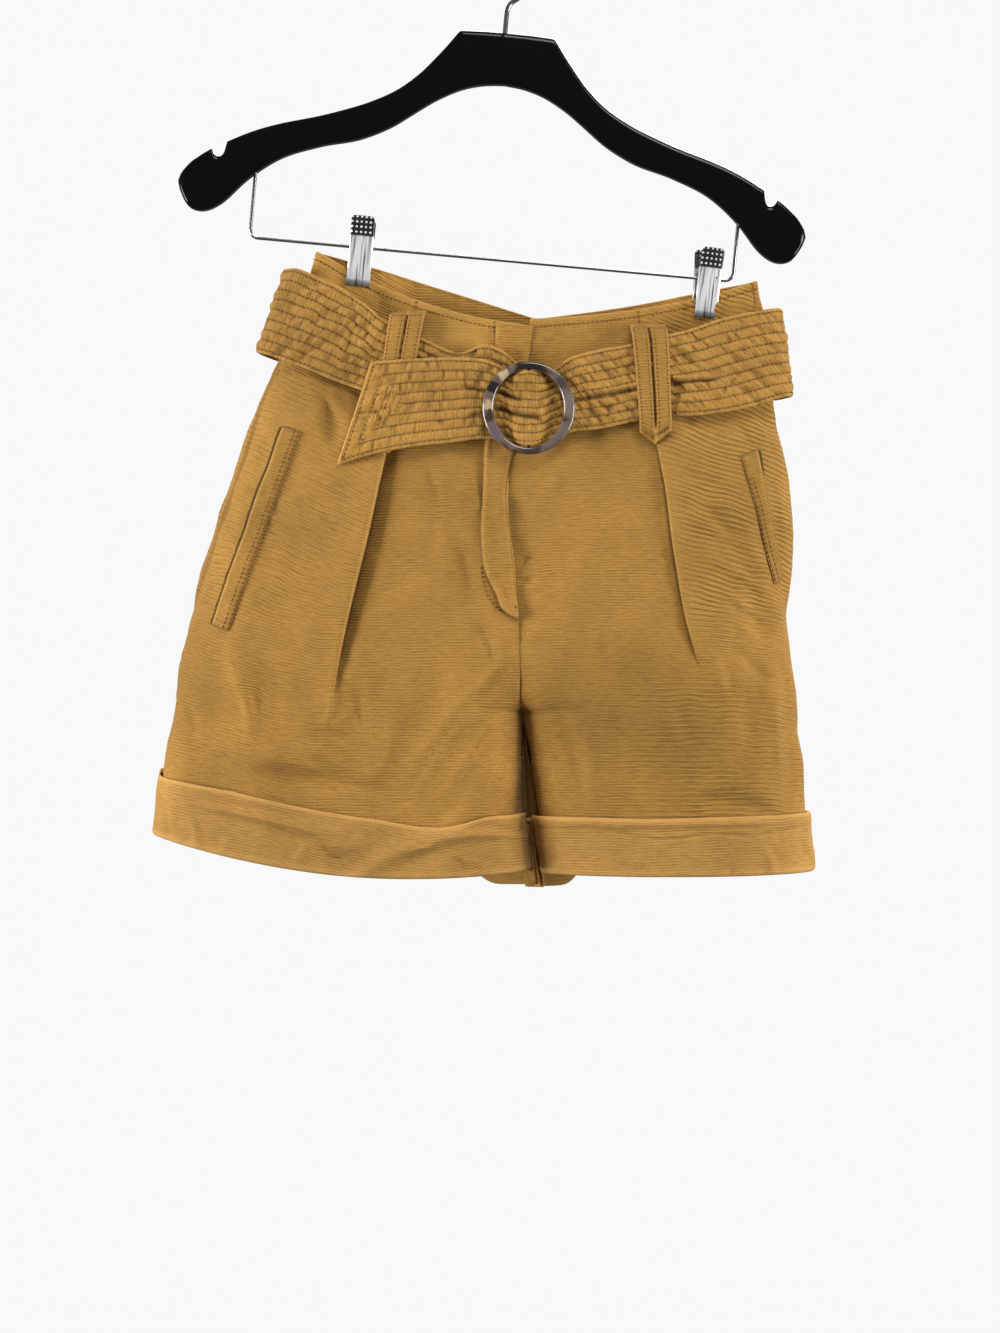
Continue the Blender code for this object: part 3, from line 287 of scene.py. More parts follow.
# A leg's inseam reaches over to the other leg's: its depth there, and how far, as a share of the gap and
# some more.
MEET = {"right": (5.0, 0.6, 1.0), "left": (11.0, -0.7, -3.0)}
MEET_SIZE, MEET_W, MEET_T = 6.0, (0.82, 0.95), 0.05
SEAM_SHOWS = {"front": (0.58, 0.62), "back": (0.0, 0.02)}   # t from which the centre seam is a dark line
WAIST_STITCH = 5.0            # the waist's stitch line, below the edge
# Painted light at the top of the cloth: how much paler it is painted on each leg.
WAIST_PAINTED_LIGHT = {"right": 0.5, "left": 0.0}            # how much paler the top of the cloth is
INSEAM_SHADE = {"front": 0.15, "back": 0.6}       # how dark the soft line along the inseam is
# Patches of painted shade where the cloth turns away from the lamps: x, z, width, height and how much.
SHADE_PATCHES = {"right": ((-222, -450, 22, 130, 0.26), (-60, -330, 60, 30, 0.06), (-35, -400, 30, 70, 0.08)),
       "left": ((95, -555, 62, 55, 0.26), (40, -520, 30, 60, 0.05), (100, -360, 55, 45, 0.13))}
CUFF_DENT = 1.7               # how far a crease may press a cuff in
RIB_SCALE = 2 * math.pi / (20 * 0.002)           # ribs 2 mm apart
RIB_SLOPES = {"right": (0.50, 0.46, 0.38, 0.20), "left": (0.42, 0.38, 0.22, 0.05)}
RIPPLE_SCALE = 2 * math.pi / (20 * 0.0038)       # broader ripples between them, 3.8 mm apart
# How strong those are beside the pleat and below it.
RIPPLED = {("front", "right"): (0.2, 0.15), ("front", "left"): (1.0, 0.6), ("back", "right"): (0.4, 0.3),
           ("back", "left"): (0.4, 0.3)}
RIB_STEEP, RIB_STEEP_FROM = 1.6, 62.0    # the ribs run steeper beyond this distance from the left pleat
STRIP_THICK = 0.8             # of the fly and the welts
# The pocket's mouth is painted in shade, this wide.
SLIT_WIDE = 2.0               # the dark mouth of a pocket
# How much lower than its even line a cuff's free top edge lies: x and drop.
CUFF_DIPS = {
    "right": ((-249, 5), (-222, 3), (-192, 1), (-136, 3), (-94, 5), (-70, 8.5), (-51, 10), (-37, 8), (-20, 3),
              (6, 3)),
    "left": ((14, 4.2), (60, 4.2), (92, 5.0), (130, 4.0), (211, 3.0)),
}
SEEDS = {("front", "right"): 11, ("front", "left"): 23, ("back", "right"): 37, ("back", "left"): 53}

# Creases: from (x0, z0) to (x1, z1), how far the middle bows to one side, width and height, which is less
# than 0 for a trough.
CREASE_GAIN, CREASE_SLOPE = 2.3, 0.46
CREASES = {
    "front_right": (
        (-64, -361, -21, -491, 3.5, 6.3, -1.7), (-44, -357, -23, -408, 2.1, 6.3, 1.1),
        (-25, -477, -13, -509, 1.4, 4.9, -1.4), (-53, -370, -43, -461, 2.8, 8.4, 0.8),
        (-195, -382, -180, -386, 0, 2.3, 1), (-196, -390, -180, -394, 0.7, 2.1, -0.9),
        (-199, -399, -180, -403, 0.7, 2.4, 1), (-201, -408, -182, -412, 0, 2.1, -0.8),
        (-202, -417, -188, -422, 0.7, 2.5, 0.9), (-205, -428, -190, -430, 0, 2.1, -0.7),
        (-210, -440, -195, -447, 0.7, 2.5, 0.8), (-213, -451, -199, -456, 0, 2.1, -0.8),
        (-218, -460, -203, -466, 0.7, 2.8, 0.8), (-177, -433, -140, -453, 2.1, 3.2, -1),
        (-174, -404, -144, -413, 1.4, 3.2, 0.8), (-150, -394, -117, -420, 2.8, 7, -1.1),
        (-172, -419, -150, -425, 1.4, 3.5, 0.6), (-181, -463, -150, -481, 2.1, 4.2, -0.7),
        (-150, -370, -115, -391, 2.1, 5.6, 0.9), (-134, -317, -122, -357, 2.1, 6.3, -1.6),
        (-237, -526, -225, -554, 1.4, 2.4, 1.4), (-228, -530, -221, -558, 1.4, 2.4, -1.1),
        (-238, -500, -230, -524, 0.7, 2.8, -0.8), (-200, -489, -181, -561, 4.2, 7, 1.3),
        (-182, -563, -125, -579, -4.2, 6.3, 1.4), (-195, -582, -82, -596, 2.1, 7, -1.3),
        (-177, -496, -163, -542, 2.1, 6.3, -0.7), (-139, -553, -112, -560, 1.4, 3.2, -1.6),
        (-151, -565, -106, -581, 2.1, 4.9, 1.2), (-125, -524, -129, -548, 0.7, 3.5, 1),
        (-113, -517, -106, -551, 1.4, 4.2, -0.9), (-2, -500, -74, -591, -3.5, 6.3, 1.3),
        (-11, -511, -81, -610, -4.2, 4.9, -1.8), (-5, -536, -50, -606, -2.8, 4.2, 1.3),
        (-32, -601, -57, -618, -1.4, 2.8, -2.2), (2, -556, -19, -602, -1.4, 3.5, -0.8),
        (-80, -532, -94, -588, 2.1, 7, 0.7), (-224, -563, -192, -577, 1.4, 3.5, -0.7),
    ),
    "front_left": (
        (62, -346, 10, -425, 4, 10, -0.8), (46, -344, 8, -410, 3, 8, 0.45),
        (5, -449, 15, -445, 0.7, 1.8, -1.4), (4, -439, 14, -430, 0.7, 2.1, -1),
        (6, -454, 19, -453, 0.7, 2.1, 0.8), (7, -486, 12, -495, 0, 1.7, -0.9),
        (103, -360, 156, -378, -2.8, 2.3, 0.55), (105, -370, 160, -391, 2.1, 2.1, -0.55),
        (106, -381, 163, -399, -2.8, 2.4, 0.6), (109, -393, 168, -412, 2.8, 2.1, -0.6),
        (125, -405, 172, -425, -2.8, 2.5, 0.75), (127, -414, 175, -439, 2.1, 2.3, -0.75),
        (130, -425, 178, -455, -2.1, 2.5, 0.8), (134, -437, 180, -465, 2.1, 2.3, -0.8),
        (139, -450, 181, -477, -2.1, 2.4, 0.75), (143, -461, 182, -486, 1.4, 2.1, -0.7),
        (149, -472, 184, -498, -1.4, 2.4, 0.6), (158, -338, 168, -356, 0.7, 2.8, -0.8),
        (168, -333, 177, -353, 0.7, 2.8, 0.8), (189, -359, 195, -422, 2.1, 2.5, -1.2),
        (183, -370, 190, -433, 1.4, 2.1, 0.9), (187, -440, 192, -489, 1.4, 2.8, -0.9),
        (126, -501, 132, -513, 0, 2.3, -0.9), (132, -496, 147, -532, 2.1, 4.9, 1.1),
        (144, -489, 181, -524, 2.1, 4.2, -0.6), (191, -489, 202, -595, 2.1, 2.4, 1.3),
        (185, -496, 195, -595, 2.1, 3.2, -1.3), (177, -517, 187, -602, 1.4, 4.2, 0.8),
        (125, -599, 182, -610, 1.4, 6.3, -1.6), (61, -532, 89, -595, 3.5, 9.9, -0.8),
        (25, -524, 50, -606, 3.5, 6.3, -0.9), (15, -546, 33, -602, 2.1, 4.2, 0.7),
        (89, -524, 125, -581, 2.8, 9.9, 0.8), (51, -461, 68, -517, 2.8, 9.9, -0.6),
        (30, -433, 44, -489, 2.8, 7, 0.6),
    ),
    "cuff_right": (
        (-223, -603, -115, -627, 1.4, 4.9, 1), (-185, -613, -129, -632, 2.1, 2.1, -1),
        (-113, -658, 9, -629, 16.2, 5.6, 1.5), (-134, -631, -108, -653, 0, 6.3, -1.1),
        (-80, -637, -51, -631, 0, 4.2, 0.5), (-203, -638, -196, -627, 0, 2.1, 0.9),
        (-243, -602, -237, -631, 0.7, 3.5, -0.6), (-223, -610, -217, -637, 1.4, 3.5, 0.5),
        (-150, -646, -142, -629, 0.7, 3.5, 0.5), (-40, -639, -30, -655, 0.7, 3.5, -0.6),
        (-65, -616, -30, -624, 1.4, 2.1, -1.1),
    ),
    "cuff_left": (
        (15, -620, 57, -619, -0.7, 1.4, -1.1), (54, -619, 85, -626, 1.4, 1.5, -1.3),
        (84, -626, 132, -624, -1.4, 1.5, -1.3), (129, -624, 167, -627, 1.4, 1.5, -1.2),
        (163, -627, 206, -620, 0.7, 1.4, -1.1), (19, -616, 202, -617, 0, 2.8, 0.7),
        (75, -641, 83, -656, 0.7, 2.1, -0.9), (84, -639, 89, -655, 0.7, 2.1, 0.7),
        (151, -643, 147, -657, 0.7, 2.8, -0.7), (174, -634, 180, -655, 0.7, 2.8, 0.6),
        (30, -630, 25, -653, 0.7, 2.8, -0.6), (111, -634, 115, -655, 0.7, 4.2, 0.5),
        (199, -629, 206, -651, 0.7, 2.8, -0.7),
    ),
    "back_right": (
        (-58, -306, -94, -433, 4.2, 8.4, -1.6), (-150, -334, -192, -461, 4.2, 7.7, 1.4),
        (-108, -461, -129, -595, 4.2, 8.4, 1.6), (-192, -489, -164, -588, 3.5, 7, -1.4),
        (-30, -475, -80, -595, -4.2, 7, -1.6), (-9, -433, -30, -503, 2.8, 5.6, 1.2),
        (-115, -348, -150, -405, 2.8, 5.6, -0.9), (-65, -532, -108, -602, -2.8, 5.6, 1.2),
        (-227, -524, -217, -567, 1.4, 3.5, 1.1), (-164, -405, -115, -433, 2.1, 5.6, -0.8),
    ),
    "back_left": (
        (33, -306, 61, -433, 4.2, 8.4, -1.6), (125, -334, 160, -461, 4.2, 7.7, 1.4),
        (89, -461, 103, -595, 4.2, 8.4, 1.6), (160, -489, 146, -588, 3.5, 7, -1.4),
        (23, -475, 61, -595, 4.2, 7, -1.6), (33, -433, 47, -503, 2.8, 5.6, 1.2),
        (103, -348, 132, -405, 2.8, 5.6, -0.9), (61, -532, 96, -602, 2.8, 5.6, 1.2),
        (181, -524, 188, -567, 1.4, 3.5, 1.1), (132, -405, 89, -433, 2.1, 5.6, -0.8),
    ),
    "cuff_back_right": (
        (-200, -612, -140, -634, 2, 3, 1), (-150, -650, -90, -628, -2, 3.5, 1.3),
        (-80, -622, -20, -640, 2, 3, -1), (-225, -618, -217, -645, 1, 3, 0.7),
        (-60, -650, -30, -632, -1, 3, 1.2), (-110, -618, -104, -650, 1, 4, -0.7),
    ),
    "cuff_back_left": (
        (190, -612, 130, -634, -2, 3, 1), (140, -652, 80, -628, 2, 3.5, 1.3),
        (30, -622, 80, -640, 2, 3, -1), (205, -618, 198, -650, 1, 3, 0.7),
        (60, -652, 32, -634, 1, 3, 1.2), (110, -618, 104, -650, 1, 4, -0.7),
    ),
    "belt_tail": (
        (-83, -306, -88, -349, 1, 6, 0.7), (-51, -303, -54, -348, 1, 7, -0.7),
        (-5, -303, 20, -322, 1, 2.4, 0.7), (-104, -322, -92, -352, 1, 5, 0.5),
    ),
    "belt_left": (
        (43, -318, 86, -309.5, 1, 2.6, 1), (108, -308, 126, -305.4, 0, 2.2, 0.9),
        (60, -345, 82, -320, 1, 3, 0.8), (112, -334, 136, -300, 2, 4, 0.8),
        (140, -328, 166, -296, 2, 4, -0.8), (150, -295, 172, -268, 1, 4, 0.8),
        (92, -335, 100, -318, 1, 3, -0.7),
    ),
    "belt_right": (
        (-20, -280, -16, -294, 0.5, 2, 1.8), (-40, -289, -26, -284, 0.5, 2, -1.3),
        (-9, -284, 5, -295, 0.5, 2, -1.4), (-58, -281, -41, -290, 1, 2.4, -1.1),
        (-54, -287, -36, -293, 1, 2.2, 1), (-28, -283, -24, -296, 0.5, 2, -1.1),
        (-140, -250, -105, -268, 2, 4, 0.8), (-150, -286, -118, -298, 1, 4, -0.8),
        (-160, -262, -128, -280, 2, 4, 0.7),
    ),
}
# Sharp folds of the belt at the buckle and the loop: from (x0, z0) to (x1, z1), width, depth, and rise
# above it.
FOLD_FADE = 3.0
BELT_FOLDS = {
    "belt_tail": ((-12, -328.5, 19, -337.2, 2.0, 2.0, 1.8), (21.5, -337.5, 34, -320.5, 2.0, 2.2, 1.2),
                  (-12, -317.0, 6, -323.0, 1.6, 1.6, 0.8), (-16, -318.0, -34, -314.0, 1.8, 0.9, 0.8),
                  (-16, -331.0, -30, -334.0, 1.8, 0.8, 0.7)),
    "belt_left": ((41, -323, 88, -315.0, 1.5, 1.8, 1.3), (106, -310.8, 142, -308.6, 1.4, 1.5, 1.1)),
}
FLY_STITCH = ((-22.5, -438), (-21.8, -445.6), (-17.6, -459.7), (-9.9, -468.9), (4.0, -475.6))
DART_LINES = (("right", ((-67.5, -251.5), (-72, -266))), ("left", ((87.4, -258), (89.5, -275))),
              ("right", ((-12.8, -263.6), (-13.6, -276))))

# --------------------------------------
# Finer forms. Where something sets in or fades out, a pair says where that begins and where it is complete.
SIDES = ("right", "left")
SIGN = {"right": -1, "left": 1}       # the side of X that the leg is on
TURN_FADE = 1.5                       # how fast the side's turn fades towards the centre
PLACE_FROM = 0.3                      # t where the search for a panel's point starts
LEAD_Q, LEAD_STEPS, ROW_STEPS = 0.2, 40, 160      # the measured lead of a row, and the points along both
HASH_I, HASH_J, HASH_SEED, HASH_GAIN = 127.1, 311.7, 74.7, 43758.5453
DOUBLES = 1e-6                        # metres within which points are merged
# The fainter ridge beside a crease, in widths of the crease, and where creases fade at their ends.
CREASE_BESIDE, CREASE_BESIDE_WIDE, CREASE_BESIDE_HIGH = 1.9, 1.3, 0.4
CREASE_ENDS = ((-0.08, 0.3), (0.65, 1.08))
# The cloth standing up above a sharp fold, in widths of the fold, and the width of the painted shade along
# it.
FOLD_ABOVE, FOLD_ABOVE_WIDE, FOLD_DARK = 2.0, 1.6, 0.75
# Unevenness: height, size across and its slant, size down and its slant, and what is added to the seed.
RELIEF = ((1.8, 34, 90, 30, -80, 0), (0.6, 14, 40, 16, math.inf, 3), (0.2, 7, math.inf, 5.5, -30, 5))
CUFF_RELIEF = ((0.5, 26, math.inf, 14, math.inf, 0), (0.3, 9, math.inf, 8, math.inf, 1),
               (0.09, 3.5, math.inf, 3, math.inf, 2))
# Panels: their top rows, the rolls of their edges as width and depth, what is pale from wear and painted
# light, and what is dark or in painted shade.
TOP_ROWS, ROWS_FROM = (0, 0.002, 0.005), 0.009
SEAM_ROLL, WAIST_ROLL, SIDE_UNDERLAP_SOFT = (2.4, 1.0), (1.8, 0.7), 1.8
# Waves along an edge: height, length, size away from it, fade, and what is added to the seed.
EDGE_WAVES = {"waist": (0.45, 4.6, 12, 16, 8), "side": (0.35, 4.2, 9, 7, 9)}
WAIST_GROOVE, WAIST_GROOVE_WIDE, WAIST_LIGHT_ENDS = 0.3, 1.0, (40, 60)
WORN_EDGE, WORN_PLEAT = 1.6, 0.7
SEAM_DARK, SEAM_DARK_WIDE = 0.55, 1.4
CENTRE_DARK, CENTRE_DARK_WIDE = 0.65, 0.9
# Painted shade on the cloth behind the gap between the legs.
GAP_DARK, GAP_FROM = 0.9, (0.2, 0.7)
INSEAM_WIDE = 3.0
# Painted shade under the pleat's fold.
PLEAT_UNDER_DARK = 0.8
RIPPLE_WIDE = 60.0
RIB_BEND, RIB_BEND_T = 44, (0.52, 0.78)       # how softly the ribs bend at the pleat, low on the leg
RIB_SLOPE_T = (0, 0.3, 0.6, 1.2)
RIB_STEEP_T = (0.45, 0.6)
RIB_SEED = 71
# Cuffs: (t, distance from the leg) of the inside of the free edge and of the turned foot, and between them
# the outer face.
CUFF_TOP = ((0.996, 0.5), (0.992, 0.9), (0.9895, 1.7), (0.9885, 2.6), (0.9895, 3.5), (0.9915, 4.0))
CUFF_FACE = (0.995, 1.111, 40)
CUFF_UNDER = ((1.1155, 2.1), (1.1185, 1.4), (1.1200, 0.4), (1.1200, -0.8), (1.1180, -1.8), (1.1130, -2.4),
              (1.10, -2.6), (1.08, -2.6), (1.06, -2.5))
CUFF_TOP_T, CUFF_STAND_ENDS, CUFF_DIPS_T = 0.99, 0.1, (1.0, 1.075)
DIP_SOFT = (-6, -3, 0, 3, 6)          # neighbours over which the dips' corners are rounded
CUFF_SEED, CUFF_CREASED, CUFF_INSIDE = 40, 1.3, 0.35
CUFF_EDGE_WAVE, CUFF_ROLL = 0.5, (1.8, 0.8)
CUFF_RIMS = ((0.99, 0.006), (1.117, 0.008))       # t and width of its worn edges
# Painted shade on the inside of a cuff.
CUFF_INSIDE_DARK = 0.35
# The fly, the welts and the loops.
FLY_FOOT_Z, FLY_INSET, FLY_HIGH, FLY_ROLL, FLY_SEED = -462, 0.15, 1.9, (6.0, 1.6), 91
LEFT_SLIT, WELT_SEED = (0.12, 0.24), 17
LOOP_WIDE, LOOP_THICK, LOOP_SEED = 24.0, 1.2, 23
LOOP_TIP_ROWS = (0.78, 1.0)
LOOP_SLIT_WIDE, LOOP_SLIT_DEEP, LOOP_SLIT_ROWS = 1.0, 2.6, ((0.02, 0.06), (0.86, 0.93))
LOOP_STITCH_AT, LOOP_STITCH_LIFT = (0.07, 0.41, 0.59, 0.93), 0.15
# Stitches: from one to the next, length and radius.
SEWING, LOOP_SEWING, BELT_SEWING = (3.3, 2.6, 0.38), (2.9, 2.2, 0.31), (3.4, 2.6, 0.37)
WAIST_ROW = 0.02                      # t of the row along which the waist's stitches are spaced
WELT_LINES = ((1.3, 1.25), (4.2, 1.6))        # stitch lines along a welt: inset and lift
WELT_ENDS = {"right": (0.02, 0.965, 0.985), "left": (0.02,)}
FLY_TACK_X, FLY_TACK_Z = (1.2, 1.9), (-465.5, -473.5)
# The belt, by its stations: behind, its left stretch, its turns, and where creases and folds fade.
BEHIND, LEFT_ENDS, RIGHT_FROM = ((20, 21), (30.5, 31.5)), ((9.5, 11), (19, 20)), (31, 32)
BELT_TURNS, TURN_WIDE, TURN_FLAT = (20, 31), 0.8, 0.85
TAIL_CREASE_ENDS, TAIL_FOLD_ENDS, RIGHT_CREASE_FROM = (7, 8.5), (8.6, 9.4), (34, 35)
SWAY_LEFT, SWAY_RIGHT, SWAY_SEED = 0.5, 1.9, 77
LEFT_WAVE, RIGHT_WAVE, BELT_ROLL = 1.5, 1.4, (1.7, 1.1)
POINT_SLANT = 0.94                    # the pointed end's distances, measured square to its edges
QUILT_SKEW = -0.55                    # slant of the ribs on the left stretch
UNDERSIDE = ((1.0, 0.5), (0.985, 0.1), (0.75, 0), (0.5, 0), (0.25, 0), (0.015, 0.1), (0.0, 0.5))
BELT_STITCH_LIFT = 0.12
# The hanger and the clips.
HANGER_SOFT_FROM, HANGER_TIP = (46, 66), 10
MOULD_LINE, MOULD_LINE_WIDE = 0.07, 0.9
BAR_BITE = 1.5                        # how far the bar runs into the hanger
WIRE_FINE, SPRING_FINE = 6, 3
FLANGE, FLANGE_ENDS = (0.7, 1.8, 3.0), ((1, 6), (30, 38))

# --------------------------------------
# Finishes
COTTON_LIGHT, COTTON_DARK = (0.505, 0.267, 0.057), (0.235, 0.113, 0.018)
CUFF_LIGHT, CUFF_DARK = (0.58, 0.315, 0.080), (0.29, 0.143, 0.029)
BELT_LIGHT, BELT_DARK = (0.62, 0.329, 0.072), (0.235, 0.114, 0.019)
THREAD = (0.135, 0.058, 0.013)
RESIN_STOPS = (
    (0.30, (0.012, 0.009, 0.008)), (0.42, (0.055, 0.030, 0.020)), (0.52, (0.16, 0.105, 0.075)),
    (0.62, (0.11, 0.085, 0.090)), (0.74, (0.30, 0.22, 0.15)),
)
# Patches on the ring: angle from +X, distance from its middle, size, and colour.
RESIN_PATCHES = (
    (90, 29, 11, (0.014, 0.010, 0.009)), (125, 28, 5, (0.50, 0.38, 0.24)),
    (150, 28, 6, (0.010, 0.008, 0.008)), (176, 28, 4.5, (0.46, 0.34, 0.20)),
    (192, 28, 5, (0.050, 0.028, 0.018)), (217, 28, 6, (0.13, 0.095, 0.105)),
    (5, 29, 9, (0.17, 0.135, 0.11)), (330, 29, 7, (0.15, 0.11, 0.09)), (40, 29, 6, (0.06, 0.045, 0.038)),
    (275, 29, 8, (0.045, 0.032, 0.028)),
)
STUD_PITCH, STUD_BAND = (3.3, 3.5), 14.5
CLIP_LONG = 48.8
CLIP_TWIST = (0.0, 14.0)

# The camera looks level at the plane of the waist, which the picture shows at 0.704 mm a pixel.
CAMERA_X, CAMERA_Z, CAMERA_AWAY = -9.2, -508.0, 1800.0
CAMERA_LENS = 69.05
WORLD_FILL = 0.15
LIGHTS = (
    ("left_box", (-2.3, -0.8, -0.5), (0, 0, -0.5), (0.8, 1.3), 76),
    ("right_box", (2.3, -0.8, -0.6), (0, 0, -0.5), (0.8, 1.3), 54),
    ("top_box", (0.5, -1.1, 1.2), (0, 0, -0.4), (1.2, 0.9), 25),
    ("back_box", (0.5, 1.9, 1.2), (0, 0, -0.4), (1.6, 1.4), 66),
)
# What the cotton's ribs, slubs, grain and ripples give to its colour and to its relief.
RIB_TONE, SLUB_TONE, GRAIN_TONE, RIPPLE_TONE = 0.42, 1.0, 1.0, 1.1
RIB_BUMP, SLUB_BUMP, GRAIN_BUMP, RIPPLE_BUMP = 0.7, 0.8, 0.35, 1.5
WEAVE_DEPTH = 0.00045
COTTON_SHEEN = dict(Roughness=0.88, Sheen_Weight=0.14, Sheen_Roughness=0.5, Sheen_Tint=(1.0, 0.86, 0.62, 1),
                    Specular_IOR_Level=0.22)
TONE_RANGE = (0.85, 1.13)
# How far wear and the painted light at the waist make the cloth paler.
WEAR_AND_LIGHT_PALER, WEAR_AND_LIGHT_MORE, WEAR_AND_LIGHT_SHARE = 1.5, 0.02, 0.35
SHADE_DEEP, SHADE_SHARE = 0.12, 0.85
BELT_RIBS = 0.55                      # how strong the ribs of the belt are
PATCH_WOBBLE, PATCH_DEEP, PATCH_FIRM = 0.009, 3, 0.6
# Painted reflections on the clips: how much the streaks count, and the range of their colour.
REFLECTION_STREAK_SHARE, REFLECTION_STREAK_RANGE = 0.6, (0.46, 0.60, 0.08, 1.0)
STUD_BAND_EDGE, STUD_DARK, STUD_BRIGHT, STUD_HIGH = 1.2, 0.03, 0.85, 0.0004
CLIP_JAW, JAW_DARK = (CLIP_LONG - 5, CLIP_LONG - 3.5), 0.3
BLACK, CHROME, SPRING_STEEL = (0.002, 0.002, 0.002), (0.34, 0.34, 0.36), (0.25, 0.25, 0.26)
WORLD_SEEN, WORLD_LIGHT = (0.935, 0.94, 0.945, 1), (1.0, 0.99, 0.98, 1)
CAMERA_SENSOR, CAMERA_SEES = 36, 20




# --------------------------------------
# Tables and curves
def column(rows, columns, name):
    """One named column of a table."""
    return np.array([row[columns.index(name)] for row in rows], float)


def smooth(at, xs, ys):
    """A cubic through the points (xs, ys) with the slopes of their neighbours, read at the values `at`."""
    at = np.clip(np.asarray(at, float), xs[0], xs[-1])
    slopes = np.gradient(ys, xs)
    k = np.clip(np.searchsorted(xs, at, side="right") - 1, 0, len(xs) - 2)
    width = xs[k + 1] - xs[k]
    u = (at - xs[k]) / width
    return ((2 * u**3 - 3 * u**2 + 1) * ys[k] + (u**3 - 2 * u**2 + u) * width * slopes[k]
            + (3 * u**2 - 2 * u**3) * ys[k + 1] + (u**3 - u**2) * width * slopes[k + 1])


def reader(rows, columns):
    """A function of (name, t) that reads a table whose first column is t."""
    first = column(rows, columns, columns[0])
    return lambda name, t: smooth(t, first, column(rows, columns, name))


def step(x, low, high):
    """From 0 at low to 1 at high, level at both ends."""
    u = np.clip((x - low) / (high - low), 0, 1)
    return u * u * (3 - 2 * u)


def window(x, rise, fall):
    """1 between two places and 0 outside them; rise and fall say where it changes."""
    return step(x, *rise) * (1 - step(x, *fall))


def bell(x, wide):
    """1 at 0, and about a third at the distance wide."""
    return np.exp(-((x / wide) ** 2))


def run_along(points):
    """Distance run along a line of points."""
    return np.concatenate([[0], np.cumsum(np.linalg.norm(np.diff(points, axis=0), axis=1))])


def unit(vectors):
    return vectors / np.linalg.norm(vectors, axis=-1, keepdims=True)


LEG = {"right": reader(RIGHT_ROWS, LEG_COLUMNS), "left": reader(LEFT_ROWS, LEG_COLUMNS)}
PLEAT = {"right": reader(RIGHT_PLEAT, PLEAT_COLUMNS), "left": reader(LEFT_PLEAT, PLEAT_COLUMNS)}
CENTRE = reader(CENTRE_ROWS, CENTRE_COLUMNS)


# --------------------------------------
# The surface of a leg
def share_of(q):
    """w, the share of the row's width from the side, for a place q around it."""
    return 0.5 - 0.5 * np.cos(math.pi * np.abs(q))


def place_of(w):
    """The q of a place on the front, from its share of the row's width."""
    return np.arccos(np.clip(1 - 2 * w, -1, 1)) / math.pi


def rounding(distance, zone):
    """From 0 at a row's end to 1 past its rounded zone, as a quarter of an ellipse."""
    return np.sqrt(np.clip(1 - np.clip(1 - distance / zone, 0, 1) ** 2, 0, 1))


def row_width(side, t):
    leg = LEG[side]
    return np.abs(leg("centre_x", t) - leg("side_x", t))


def surface(side, q, t):
    """Points of the outer face of a leg with no folds, in millimetres."""
    q, t = np.broadcast_arrays(np.asarray(q, float), np.asarray(t, float))
    leg = LEG[side]
    w = share_of(q)
    width = row_width(side, t)
    back = q < 0
    x = leg("side_x", t) + (leg("centre_x", t) - leg("side_x", t)) * w
    z = leg("side_z", t) + (leg("centre_z", t) - leg("side_z", t)) * w + leg("sag", t) * np.sin(math.pi * w)
    middle, centre = BACK_RISE[side]
    fades = np.clip(1 - t / BACK_RISE_ENDS, 0, 1)
    z = z + np.where(back, fades * (middle * np.sin(math.pi * w) + centre * w), 0)
    droop = INSEAM_DROOP * step(t, *DROOP_T) * np.exp(-(((w - DROOP_AT) / DROOP_WIDTH) ** 4))
    z = z - np.where(back, droop, 0)
    own = np.where(back, leg("back", t), leg("front", t))
    shared = np.where(back, CENTRE("back", t), CENTRE("front", t))
    depth = own + (shared - own) * step(w, CENTRE_FROM, 1.0) + own * BELLY * np.sin(math.pi * w)
    above = np.clip((CROTCH - t) * RISE_LENGTH / CROTCH_CURVE, 0, 1)
    open_centre = np.sqrt(1 - (1 - above) ** 2)
    zone = leg("round", t)
    depth = depth * rounding(w * width, zone)
    depth = depth * (open_centre + (1 - open_centre) * rounding((1 - w) * width, zone))
    pinch = sum(bell(x - at, PINCH_WIDTH) for at in PINCH_X) * bell(t, PINCH_T)
    depth = depth + (np.minimum(depth, PINCHED) - depth) * np.clip(pinch * PINCH_FIRM, 0, 1)
    turned = leg("turn", t) * (1 - w) ** TURN_FADE
    return np.stack([x, turned + np.where(back, depth, -depth), z], axis=-1)


def normals(side, q, t):
    """Directions straight out of the cloth."""
    across = surface(side, np.minimum(q + NEAR_Q, 1), t) - surface(side, np.maximum(q - NEAR_Q, -1), t)
    along = surface(side, q, t + NEAR_T) - surface(side, q, np.maximum(t - NEAR_T, 0))
    return unit(np.cross(across, along) * SIGN[side])


def folds(side, q, t, layer=None):
    """How far the pleat and the broad folds move the cloth out.

    layer says, from 0 to 1, which layer of the pleat each point is on. Without it, the pleat is a plain step.
    """
    q, t = np.broadcast_arrays(np.asarray(q, float), np.asarray(t, float))
    w, width, front = share_of(q), row_width(side, t), q > 0
    run = (w - PLEAT[side]("w", t)) * width
    height = PLEAT[side]("height", t)
    raised = height * np.exp(-np.abs(run) / PLEAT_SPREAD[0])
    sunk = -PLEAT_SINK * height * np.exp(-np.abs(run) / PLEAT_SPREAD[1])
    over = step(run, -PLEAT_EDGE, PLEAT_EDGE) if layer is None else layer
    out = np.where(front, raised + (sunk - raised) * over, 0)
    if layer is not None:
        out = out - PLEAT_HOLLOW[side] * height * bell(run, PLEAT_HOLLOW_WIDTH) * layer
    for on_side, table in ((front, FRONT_FOLDS[side]), (~front, BACK_FOLDS[side])):
        for at_w, at_t, across, along, slant, high in table:
            down = (t - at_t) * RISE_LENGTH
            shape = bell((w - at_w) * width - slant * down, across) * bell(down, along)
            out = out + np.where(on_side, high * shape * rounding(w * width, FOLD_SIDE_FADE), 0)
    if side == "left":
        under = step((1 - w) * width, *FLY_STEP_NEAR) * step(t, *FLY_STEP_T)
        out = out - np.where(front, FLY_STEP * under, 0)
    return out


